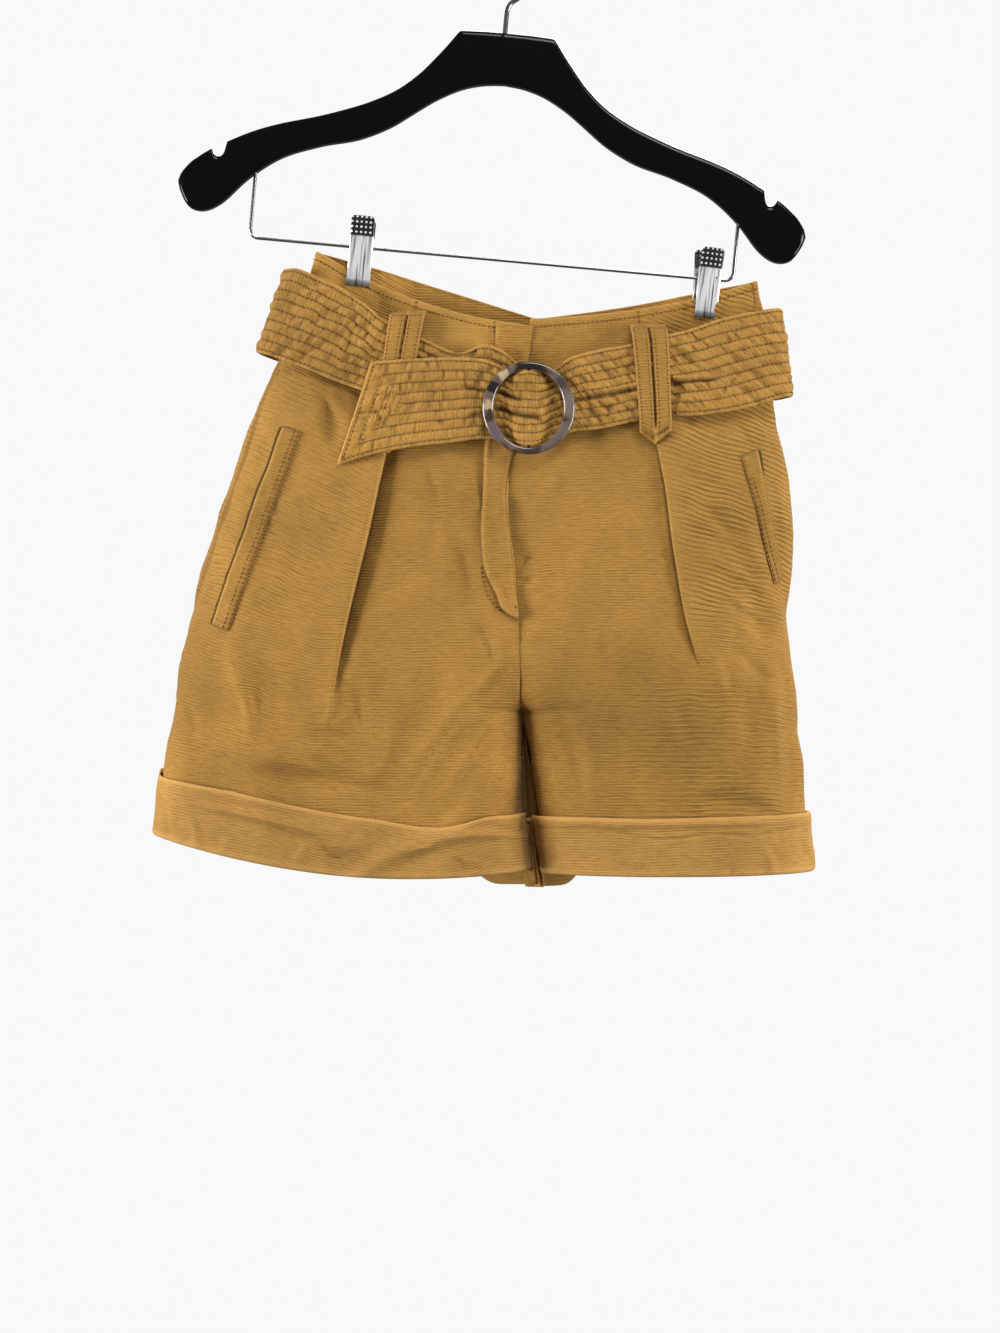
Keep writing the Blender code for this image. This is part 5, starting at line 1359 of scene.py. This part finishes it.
def fly(look):
    """The fly shield, with a thick rounded edge that is stitched down."""
    z_of = column(FLY_ROWS, FLY_COLUMNS, "z")
    raised, edge = column(FLY_ROWS, FLY_COLUMNS, "raised_x"), column(FLY_ROWS, FLY_COLUMNS, "edge_x")
    zs = np.concatenate([np.linspace(z_of[0], FLY_FOOT_Z, 110), np.linspace(FLY_FOOT_Z - 1, z_of[-1], 14)])
    share = np.linspace(0, 1, 22)
    left, right = smooth(-zs, -z_of, raised)[:, None], smooth(-zs, -z_of, edge)[:, None] - FLY_INSET
    x = left + (right - left) * share
    z = np.repeat(zs[:, None], len(share), axis=1)
    near = np.minimum(x - left, z - z_of[-1])
    lift = 0.1 + FLY_HIGH * rounding(near, 2.4) + edge_roll(right - x, *FLY_ROLL)
    lift = lift + 1.0 * bell(near - 3, 2.2) + 0.8 * noise(x / 7, z / 9, FLY_SEED)
    worn = 0.5 * np.maximum(np.exp(-np.abs(right - x - 1.6) / 0.9), np.exp(-np.abs(near - 1.8) / 0.9))
    # Painted shade along its raised edge and its free edge.
    shade = 0.8 * np.maximum(bell(near, 0.7), bell(right - x, 0.7))
    uv = np.stack([x, -z], axis=-1)
    return declare(strip("fly_cloth", "right", x, z, lift, look, uv, worn=worn, shade=shade), "cotton", "fly")


def pocket_welt(side, look):
    """The welt of a slanted pocket. The slit runs down its outer side, on the left only near its top."""
    outer_top, inner_top, outer_low, inner_low = (np.array(corner, float) for corner in WELTS[side])
    down = np.linspace(0, 1, 90)[:, None, None]
    over = np.linspace(0, 1, 24)[None, :, None]
    flat = (outer_top + (inner_top - outer_top) * over) * (1 - down)
    flat = flat + (outer_low + (inner_low - outer_low) * over) * down
    x, z = flat[..., 0], flat[..., 1]
    wide, tall = np.linalg.norm(inner_top - outer_top), np.linalg.norm(outer_low - outer_top)
    near = over[..., 0] * wide + 0 * x
    far = (1 - over[..., 0]) * wide + 0 * x
    ends = np.minimum(down[..., 0], 1 - down[..., 0]) * tall + 0 * x
    mouth = 1 if side == "right" else 1 - step(down[..., 0], *LEFT_SLIT)
    lift = WELT_LIFT + (0.8 + 0.5 * mouth) * step(near, SLIT_WIDE - 0.4, SLIT_WIDE + 0.5 + 2.5 * (1 - mouth))
    lift = lift + edge_roll(far, 3.0, 1.3) + edge_roll(ends, 2.0, 1.1)
    lift = lift - 0.35 * bell(far - 2.2, 0.8) + 0.3 * noise(near / 6, ends / 8, WELT_SEED)
    worn = bell(near - SLIT_WIDE - 0.8, 0.7) * mouth
    # Painted shade in the slit's mouth and along the welt's other edges.
    slit = mouth * np.exp(-((near / SLIT_WIDE) ** 8))
    shade = np.maximum(slit, 0.75 * bell(np.minimum(far, ends), 0.8))
    uv = np.stack([near, down[..., 0] * tall + 0 * x], axis=-1)
    obj = strip(f"pocket_welt_{side}_cloth", side, x, z, lift, look, uv, worn=worn, shade=shade)
    return declare(obj, "cotton", f"pocket_welt_{side}")


def loop_points(part, side, rows, share, lift):
    """Points of a belt loop: over the belt and down on the panel at its two ends, with a mitred tip."""
    table = LOOPS[part, side]
    z_of, over = column(table, LOOP_COLUMNS, "z"), column(table, LOOP_COLUMNS, "over")
    left, right = column(table, LOOP_COLUMNS, "left"), column(table, LOOP_COLUMNS, "right")
    zs = z_of[0] + (z_of[-1] - z_of[0]) * rows
    x = smooth(-zs, -z_of, left)[:, None] + smooth(-zs, -z_of, right - left)[:, None] * share
    tip = LOOP_TIP * (1 - np.abs(2 * share - 1)) * step(rows, *LOOP_TIP_ROWS)[:, None]
    points = over_panel(part, side, x, zs[:, None] - tip, LOOP_LIFT + lift)
    facing = -1 if part == "front" else 1
    wanted = np.interp(-zs, -z_of, over)[:, None] + lift
    points[..., 1] = facing * np.maximum(facing * points[..., 1], wanted)
    return points, facing_grid(points, facing)


def belt_loop(part, side, look, thread):
    """A belt loop of two strips side by side with a slit between them, and its stitches."""
    share = np.concatenate([np.linspace(0, 0.43, 12), np.linspace(0.46, 0.54, 7), np.linspace(0.57, 1, 12)])
    rows = np.linspace(0, 1, 90)
    edge = np.minimum(share, 1 - share) * LOOP_WIDE
    off = np.minimum(edge, np.abs(share - 0.5) * LOOP_WIDE)
    slit = bell((share - 0.5) * LOOP_WIDE, LOOP_SLIT_WIDE)[None, :]
    slit_rows = window(rows, *LOOP_SLIT_ROWS)[:, None]
    tall = LOOPS[part, side][0][0] - LOOPS[part, side][-1][0]
    drop = rows[:, None] * tall
    lift = (LOOP_CLOTH + edge_roll(edge, 1.8, 1.0))[None, :] - LOOP_SLIT_DEEP * slit * slit_rows
    lift = lift + 0.5 * bell(off - 4.5, 3.2) + 0.25 * noise(share * LOOP_WIDE / 5, drop / 7, LOOP_SEED)
    lift = lift + edge_roll(drop, 1.6, 0.8) + edge_roll(tall - drop, 1.6, 1.2)
    points, out = loop_points(part, side, rows, share, lift)
    uv = np.stack([share * LOOP_WIDE + 0 * drop, drop + 0 * share], axis=-1)
    name = f"belt_loop_{side}" if part == "front" else f"belt_loop_back_{side}"
    # Painted shade in the slit between its strips and along their edges.
    obj = sheet_object(f"{name}_cloth", points, out, look, uv, LOOP_THICK, worn=np.exp(-off) + 0 * drop,
                       shade=np.maximum(slit ** 2 * slit_rows, 0.45 * bell(edge, 0.6)))
    declare(obj, "cotton", name)
    sewn = points + out * LOOP_STITCH_LIFT
    lines = [sewn[3:-4, int(np.argmin(np.abs(share - at)))] for at in LOOP_STITCH_AT]
    lines += [sewn[4, 1:-1], sewn[-5, 1:-1]]
    return obj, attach(stitched(f"{name}_stitches", lines, thread, LOOP_SEWING), "root")


# --------------------------------------
# The belt: one strip from its pointed end through the buckle, round the back and to the buckle's bar
def belt_places():
    """u of stations spaced evenly along the belt, and the distance run at each."""
    fine = np.linspace(0, len(BELT) - 1, 5000)
    run = run_along(belt_sheet(fine, np.full_like(fine, 0.5)))
    each = BELT_STEP[0] + (BELT_STEP[1] - BELT_STEP[0]) * window(fine, *BEHIND)[1:]
    dense = np.concatenate([[0], np.cumsum(np.diff(run) / each)])
    at = np.interp(np.linspace(0, dense[-1], int(dense[-1])), dense, run)
    return np.interp(at, run, fine), at


def belt_sway(us, at, share):
    """How far the lines of quilting wander: most where the belt is crumpled, and not at its edges."""
    much = SWAY_LEFT * window(us, (4, 6), LEFT_ENDS[1]) + SWAY_RIGHT * step(us, 31.5, 33)
    return much * 4 * share * (1 - share) * noise(at / 8.5, share * 2.6, SWAY_SEED)


def belt_grid(shares):
    """Where the belt lies: station, inner face, outward direction, width, run along, and distances from its
    upper and lower edge and its end."""
    u, at = belt_places()
    us, vs = np.meshgrid(u, shares, indexing="ij")
    face, out = belt_sheet(us, vs), belt_out(us, vs)
    wide = np.linalg.norm(belt_sheet(u, np.ones_like(u)) - belt_sheet(u, np.zeros_like(u)), axis=-1)[:, None]
    at = np.repeat(at[:, None], len(shares), axis=1)
    sway = belt_sway(us, at, vs)
    return us, face, out, wide, at, vs * wide - sway, (1 - vs) * wide + sway, lengths(face, 0) * POINT_SLANT


def belt_pressed(us, x, z):
    """How far creases and sharp folds move the belt's cloth out, and the painted shade in the folds."""
    tail, left = 1 - step(us, *TAIL_CREASE_ENDS), window(us, *LEFT_ENDS)
    rise = creased(CREASES["belt_tail"], x, z) * tail + creased(CREASES["belt_left"], x, z) * left
    rise = rise + creased(CREASES["belt_right"], x, z) * step(us, *RIGHT_CREASE_FROM)
    dark = 0
    for part, here in (("belt_tail", 1 - step(us, *TAIL_FOLD_ENDS)), ("belt_left", left)):
        moved, darker = folded(BELT_FOLDS[part], x, z)
        rise, dark = rise + moved * here, dark + darker * here
    return rise, dark


def belt_lift(us, wide, at, top, low, end, x, z):
    """How far the belt's cloth stands out from its quilting, puckers and folds, and its painted shade in the
    quilting's grooves, the wrinkles' troughs and the folds and over its right stretch.
    """
    edge = np.minimum(top, low)
    near = np.minimum(edge, end)
    pitch = (wide - 2 * QUILT_FROM) / (QUILT_ROWS - 1)
    phase = np.clip((near - QUILT_FROM) / pitch, -1, (QUILT_ROWS - 1) / 2)
    row = np.floor(phase + 1e-6)
    part = phase - row
    lane = np.where(end < edge, 30 + row, np.where(top < low, row, 20 - row))
    left, right = window(us, *LEFT_ENDS), step(us, *RIGHT_FROM)
    along = np.where(end < edge, top, at) - 0.6 * left * top + 0.12 * right * top
    hem = 0.25 * (1 - (near / QUILT_FROM * 2 - 1) ** 2)
    puff = np.where(phase >= 0, 1 - np.abs(2 * part - 1) ** 2.3, hem)
    gather = np.where(phase >= 0, np.sin(math.pi * np.clip(part, 0.02, 0.98)) ** 0.6, 0.4)
    wrinkle = noise(along / 2.5, lane * 5.37 + part * 0.9, 61) * 1.15
    wrinkle = wrinkle + noise(along / 5.0, lane * 3.1, 62) * 0.6
    flat = 1 - TURN_FLAT * sum(bell(us - at_turn, TURN_WIDE) for at_turn in BELT_TURNS)
    rise = QUILT_PUFF * flat * puff * (0.85 + 0.4 * noise(at / 9, lane * 2.7, 63)) + wrinkle * gather
    rise = rise + noise(at / 22, top / 30, 64) + edge_roll(near, *BELT_ROLL)
    rise = rise + LEFT_WAVE * noise((at - 0.9 * top) / 6, (top + 0.6 * at) / 22, 66) * left
    rise = rise + RIGHT_WAVE * noise((at + 0.7 * top) / 7, (top - at) / 30, 67) * right
    pressed, dark = belt_pressed(us, x, z)
    # Painted shade in the quilting's grooves, the wrinkles' troughs and the sharp folds, and over the right
    # stretch.
    groove = bell(np.minimum(part, 1 - part) * pitch, 0.8) * (phase > -0.2)
    shade = 0.4 * groove + 0.3 * np.clip(-wrinkle, 0, 1) + 0.8 * dark + 0.13 * right
    return rise + pressed, np.clip(shade, 0, 1)


def belt_lines(outer, out, wide, top, low, end, us, at):
    """The lines of quilting, which turn at the pointed end as nested frames."""
    lines = []
    count, columns = outer.shape[:2]
    stations = np.arange(count)
    lifted = outer + out * BELT_STITCH_LIFT
    wide = wide[:, 0]
    pitch = (wide - 2 * QUILT_FROM) / (QUILT_ROWS - 1)
    for k in range(QUILT_ROWS):
        inset = QUILT_FROM + pitch * k
        share = inset / wide
        share = (share + belt_sway(us[:, 0], at[:, 0], share) / wide) * (columns - 1)
        low_column = np.clip(share.astype(int), 0, columns - 2)
        mix = (share - low_column)[:, None]
        points = lifted[stations, low_column] * (1 - mix) + lifted[stations, low_column + 1] * mix
        own = QUILT_FROM + pitch * min(k, QUILT_ROWS - 1 - k)
        lines.append(points[end[stations, low_column] > own])
        if k < QUILT_ROWS // 2:
            inside = [j for j in range(columns) if min(top[0, j], low[0, j]) >= inset[0]]
            lines.append(np.array([lifted[min(int(np.searchsorted(end[:, j], inset[0])), count - 1), j]
                                   for j in inside]))
    return lines


def belt(look, thread):
    """The belt as a closed strip with a plain underside, its lines of stitches, and its cut."""
    us, face, out, wide, at, top, low, end = belt_grid(np.linspace(0, 1, BELT_ROWS))
    rise, shade = belt_lift(us, wide, at, top, low, end, face[..., 0], face[..., 2])
    outer = face + out * (BELT_CLOTH + rise)[..., None]
    shares, inset = np.array(UNDERSIDE).T
    _, inner, inner_out, *_ = belt_grid(shares)
    inner = inner + inner_out * inset[:, None]

    def ring(over, under):
        return np.concatenate([over, under, over[:, :1]], axis=1)

    skew = QUILT_SKEW * window(us, *LEFT_ENDS)
    uv_outer = np.stack([top, at + skew * top], axis=-1)
    uv_inner = np.stack([np.broadcast_to(70 + shares * 60, inner.shape[:2]),
                         np.repeat(at[:, :1], len(shares), axis=1)], axis=-1)
    worn = np.exp(-np.minimum(np.minimum(top, low), end) / 1.1)
    plain = np.zeros(inner.shape[:2])
    obj = sheet_object("belt_cloth", ring(outer, inner), ring(out, inner_out), look, ring(uv_outer, uv_inner),
                       joined=True, worn=ring(worn, plain), shade=ring(shade, plain))
    close_ends(obj)
    declare(obj, "quilted_cotton", "belt_right", "belt_left", "belt_back")
    lines = belt_lines(outer, out, wide, top, low, end, us, at)
    return obj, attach(stitched("belt_stitches", lines, thread, BELT_SEWING), "root"), cut_of(outer)


# --------------------------------------
# The buckle
def buckle(look):
    """The ring, of a rounded flat section, with its middle bar."""
    turn = np.linspace(0, 2 * math.pi, 129)[:-1]
    round_at = np.linspace(0, 2 * math.pi, 29)[:-1]
    across, deep = np.cos(round_at), np.sin(round_at)
    across = 0.5 + 0.5 * np.sign(across) * np.abs(across) ** 0.75
    deep = 0.5 + 0.5 * np.sign(deep) * np.abs(deep) ** 0.8
    direction = np.stack([np.cos(turn), np.sin(turn)], axis=-1)[:, None, :]
    inner, outer = direction * np.array(RING_INNER), direction * RING_OUTER
    flat = inner + (outer - inner) * across[None, :, None]
    rings = np.stack([RING_CENTRE[0] + flat[..., 0], RING_BACK - RING_THICK * deep + 0 * flat[..., 0],
                      RING_CENTRE[1] + flat[..., 1]], axis=-1)
    obj = swept("buckle_ring_resin", rings, look, closed=True)
    bm = bmesh.new()
    bm.from_mesh(obj.data)
    middle = Vector((RING_CENTRE[0], RING_BAR_Y, RING_CENTRE[1])) * MM
    bmesh.ops.create_cone(bm, cap_ends=True, segments=24, radius1=RING_BAR * MM, radius2=RING_BAR * MM,
                          depth=2 * (RING_INNER[1] + RING_BAR_BITE) * MM, matrix=Matrix.Translation(middle))
    bm.to_mesh(obj.data)
    bm.free()
    obj.data.shade_smooth()
    return declare(obj, "horn_resin", "buckle_ring")


# --------------------------------------
# The hanger, its hook, bar and clips, which are rolled about the seat of the hook
def roll(points):
    x, y, z = points[..., 0], points[..., 1], points[..., 2]
    c, s = math.cos(ROLL), math.sin(ROLL)
    return np.stack([x * c + z * s, y, -x * s + z * c], axis=-1)


def softened(xs, values, wide):
    """values with their corners rounded over about this width."""
    kernel = np.exp(-((xs[:, None] - xs[None, :]) / wide) ** 2)
    return (kernel * values).sum(axis=1) / kernel.sum(axis=1)


def hanger(look):
    """The moulded hanger: a rounded body along its arms, with a notch near each end and a mould line."""
    xs_of = column(HANGER_ROWS, HANGER_COLUMNS, "x")
    tops, lows = column(HANGER_ROWS, HANGER_COLUMNS, "top"), column(HANGER_ROWS, HANGER_COLUMNS, "low")
    last, last_top, last_low = HANGER_END
    xs_of, tops, lows = np.append(xs_of, last), np.append(tops, last_top), np.append(lows, last_low)
    arm = np.linspace(-last, last, 360)
    plain = np.interp(np.abs(arm), xs_of, tops)
    far = step(np.abs(arm), *HANGER_SOFT_FROM)
    high = softened(arm, plain, 1.6) * (1 - far) + softened(arm, plain, 10.0) * far
    down = softened(arm, smooth(np.abs(arm), xs_of, lows), 3.0)
    for sign in (-1, 1):
        dip = np.clip(1 - ((arm - sign * NOTCH[0]) / (NOTCH_RADIUS + 0.8)) ** 2, 0, 1) ** 0.5
        high = high - dip * np.maximum(high - (NOTCH[1] - NOTCH_RADIUS), 0)
    end = np.clip((last - np.abs(arm)) / HANGER_TIP, 0, 1)
    closing = np.sqrt(1 - (1 - end) ** 2)
    middle, half = (high + down) / 2, (high - down) / 2
    half = np.maximum(half * (0.12 + 0.88 * closing), 0.4)[:, None]
    thick = (HANGER_THICK / 2 * (0.35 + 0.65 * np.clip(closing, 0, 1)))[:, None]
    turn = np.linspace(0, 2 * math.pi, 41)[:-1] + math.pi / 40
    edge = np.minimum(HANGER_EDGE + 1.4, half)
    y = np.sign(np.cos(turn)) * (thick - 3.4) + 3.4 * np.cos(turn)
    z = np.sign(np.sin(turn)) * (half - edge) + edge * np.sin(turn)
    y = np.where(np.abs(y) > thick, np.sign(y) * thick, y)
    y = y * (1 + MOULD_LINE * bell(arm[:, None] + HANGER_X, MOULD_LINE_WIDE))
    rings = np.stack([HANGER_X + arm[:, None] + 0 * y, y, middle[:, None] + z], axis=-1)
    return declare(swept("hanger_plastic", roll(rings), look), "black_plastic", "hanger")


def arc(centre_x, centre_z, radius, start, finish, count):
    """Points of an arc seen from the front, between two angles."""
    return [(centre_x + radius * math.cos(a), 0, centre_z + radius * math.sin(a))
            for a in np.radians(np.linspace(start, finish, count))]


def hook(look):
    """The hook: its bow, and a smooth neck down to the hanger."""
    bow = arc(0, -HOOK_INNER, HOOK_INNER + HOOK_WIRE, HOOK_TIP, HOOK_LEAVES, 72)
    neck = [(x, 0, z) for x, z in HOOK_NECK] + [(0, 0, HANGER_ROWS[0][1] - 1)]
    run = np.array(bow[-6:] + neck)
    fine = np.linspace(0, len(run) - 1, 60)
    neck = np.stack([smooth(fine, np.arange(len(run), dtype=float), run[:, k]) for k in range(3)], axis=-1)
    wire = tube("hook_wire", np.concatenate([bow[:-6], neck]), HOOK_WIRE, look, WIRE_FINE, True)
    return declare(wire, "chrome", "hook")


def clip_bar(look):
    """The bar that the clips slide on, bent up at both ends into the hanger."""
    left, right = BAR_X
    xs_of, lows = column(HANGER_ROWS, HANGER_COLUMNS, "x"), column(HANGER_ROWS, HANGER_COLUMNS, "low")
    tops = [float(smooth(abs(x - HANGER_X), xs_of, lows)) + BAR_BITE for x in BAR_X]
    points = [(left, 0, tops[0])]
    for corner_x, start, finish in ((left + BAR_BEND, 180, 270), (right - BAR_BEND, 270, 360)):
        points += arc(corner_x, BAR_Z + BAR_BEND, BAR_BEND, start, finish, 14)
    points.append((right, 0, tops[1]))
    return declare(tube("clip_bar_wire", points, BAR_WIRE, look, WIRE_FINE, True), "chrome", "clip_bar")


def clip_leaf(name, x, twist, sign, look):
    """One pressed leaf, bowed across, with turned-in flanges, a rounded top and a lip at its foot."""
    z_of, away_of = column(CLIP_ROWS, CLIP_COLUMNS, "z"), column(CLIP_ROWS, CLIP_COLUMNS, "away")
    zs = np.linspace(z_of[0], z_of[-1], 70)[:, None]
    share = np.concatenate([[-1.0, -1.0, -1.0], np.linspace(-0.99, 0.99, 21), [1.0, 1.0, 1.0]])
    flange = np.concatenate([FLANGE[::-1], np.zeros(21), FLANGE])
    below = z_of[0] - zs
    away = smooth(-zs, -z_of, away_of) + CLIP_LEAF + 0.5 * (1 - share ** 2)
    away = away - flange * window(below, *FLANGE_ENDS)
    y = sign * (away + 0.6 * bell(zs - z_of[-1] - 2, 1.6))
    round_top = 1 - 0.22 * np.clip(1 - below / 3.0, 0, 1) ** 2
    xs = CLIP_WIDTH / 2 * share * round_top
    uv = np.stack([xs + CLIP_WIDTH / 2, below + 0 * xs], axis=-1)
    turn = math.radians(twist)
    points = np.stack([x + xs * math.cos(turn) - y * math.sin(turn), xs * math.sin(turn) + y * math.cos(turn),
                       zs + 0 * y], axis=-1)
    return sheet_object(name, roll(points), facing_grid(points, sign), look, uv, CLIP_LEAF * 0.9)


def clip(name, x, twist, steel, dark):
    """Two pressed leaves on a spring round the bar."""
    front = declare(clip_leaf(f"{name}_leaf_front", x, twist, -1, steel), "chrome", name)
    back = clip_leaf(f"{name}_leaf_back", x, twist, 1, steel)
    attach(back, "root")
    length = CLIP_WIDTH - SPRING_SHORT
    turns = np.linspace(0, SPRING_TURNS * 2 * math.pi, SPRING_TURNS * TURN_POINTS)
    coil = np.stack([x - length / 2 + length * turns / turns[-1], SPRING_RADIUS * np.cos(turns),
                     BAR_Z + SPRING_RADIUS * np.sin(turns)], axis=-1)
    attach(tube(f"{name}_spring", coil, SPRING_WIRE, dark, SPRING_FINE), "root")
    return front, back


# --------------------------------------
# Sewing on the shorts
def panel_stitches(thread):
    """The waist's stitches, the pockets', the fly's J and the pleats' darts."""
    lines = []
    for side in SIDES:
        for part, far in (("front", 1), ("back", -1)):
            q = spread(side, WAIST_ROW, float(LEG[side]("seam", WAIST_ROW)), far * 0.995, 90)
            lines.append(fine_cloth(part, side, q, WAIST_STITCH / RISE_LENGTH + 0 * q, 0.15 + 0 * q))
        outer_top, inner_top, outer_low, inner_low = (np.array(c, float) for c in WELTS[side])
        full = 0.45 if side == "right" else 0.0
        for inset, lift in WELT_LINES:
            shift = (outer_top - inner_top) / np.linalg.norm(outer_top - inner_top) * inset
            lines.append(line_over("front", side, [inner_top + shift, inner_low + shift], lift + full))
        for high in WELT_ENDS[side]:
            ends = [outer_top + (outer_low - outer_top) * high, inner_top + (inner_low - inner_top) * high]
            lines.append(line_over("front", side, ends, 1.3 + full, 0.8))
    lines.append(line_over("front", "right", FLY_STITCH, 0.35))
    for x in FLY_TACK_X:
        lines.append(line_over("front", "right", [(x, FLY_TACK_Z[0]), (x + 0.2, FLY_TACK_Z[1])], 1.9, 0.8))
    for side, corners in DART_LINES:
        lines.append(line_over("front", side, corners, 0.2))
    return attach(stitched("panel_stitches", lines, thread, SEWING), "root")


# --------------------------------------
# Light and camera
def area_light(name, place_at, aim, size, power):
    data = bpy.data.lights.new(name, "AREA")
    data.shape = "RECTANGLE"
    data.size, data.size_y = size
    data.energy = power
    light = link(name, data)
    light.location = place_at
    light.rotation_euler = (Vector(aim) - Vector(place_at)).to_track_quat("-Z", "Y").to_euler()


def studio():
    """A plain pale surround that lights the shorts only a little, four soft boxes, and the camera."""
    world = bpy.data.worlds.new("studio")
    bpy.context.scene.world = world
    world.use_nodes = True
    tree = world.node_tree
    tree.nodes.clear()
    seen = node(tree, "ShaderNodeBackground", {"Color": WORLD_SEEN, "Strength": 1.0})
    fill = node(tree, "ShaderNodeBackground", {"Color": WORLD_LIGHT, "Strength": WORLD_FILL})
    to_camera = node(tree, "ShaderNodeLightPath").outputs["Is Camera Ray"]
    mix = node(tree, "ShaderNodeMixShader", {0: to_camera, 1: fill.outputs[0], 2: seen.outputs[0]})
    out = node(tree, "ShaderNodeOutputWorld")
    tree.links.new(mix.outputs[0], out.inputs["Surface"])
    for light in LIGHTS:
        area_light(*light)
    data = bpy.data.cameras.new("camera")
    data.sensor_width = CAMERA_SENSOR
    data.lens = CAMERA_LENS
    data.clip_end = CAMERA_SEES
    camera = link("camera", data)
    camera.location = (CAMERA_X * MM, -CAMERA_AWAY * MM, CAMERA_Z * MM)
    camera.rotation_euler = (math.pi / 2, 0, 0)
    bpy.context.scene.camera = camera
    bpy.context.scene.view_settings.view_transform = "Standard"


# --------------------------------------
def main():
    cloth_look = cotton("cotton_ribbed", COTTON_LIGHT, COTTON_DARK)
    belt_look = cotton("cotton_quilted", BELT_LIGHT, BELT_DARK, BELT_RIBS)
    cuff_look = cotton("cotton_turned", CUFF_LIGHT, CUFF_DARK)
    thread, _, _ = shader_of("thread", Base_Color=(*THREAD, 1), Roughness=0.8)
    black, _, _ = shader_of("black_gloss", Base_Color=(*BLACK, 1), Roughness=0.12, Specular_IOR_Level=0.24)
    metal, _, _ = shader_of("chrome_wire", Metallic=1.0, Roughness=0.22, Base_Color=(*CHROME, 1))
    dark, _, _ = shader_of("spring_steel", Metallic=1.0, Roughness=0.3, Base_Color=(*SPRING_STEEL, 1))
    steel = clip_steel("clip_steel")
    sewn = panel_stitches(thread)
    fly_piece = fly(cloth_look)
    welts = {side: pocket_welt(side, cloth_look) for side in SIDES}
    loops = {key: belt_loop(*key, cloth_look, thread) for key in LOOPS}
    clips = [clip(f"clip_{side}", x, twist, steel, dark) for side, x, twist in zip(SIDES, CLIP_X, CLIP_TWIST)]
    for side in SIDES:
        for part in ("front", "back"):
            piece, (width, length, area) = panel(side, part, cloth_look)
            extra = [*loops[part, side]]
            if part == "front":
                extra.append(welts[side])
            if (part, side) == ("front", "right"):
                extra += [fly_piece, sewn]
            turned_up, (width, length, area) = cuff(side, part, cuff_look)
    strap, strap_stitches, (width, length, area) = belt(belt_look, thread)
    buckle(resin("horn_marbled"))
    hanger(black)
    hook(metal)
    clip_bar(metal)
    studio()


main()
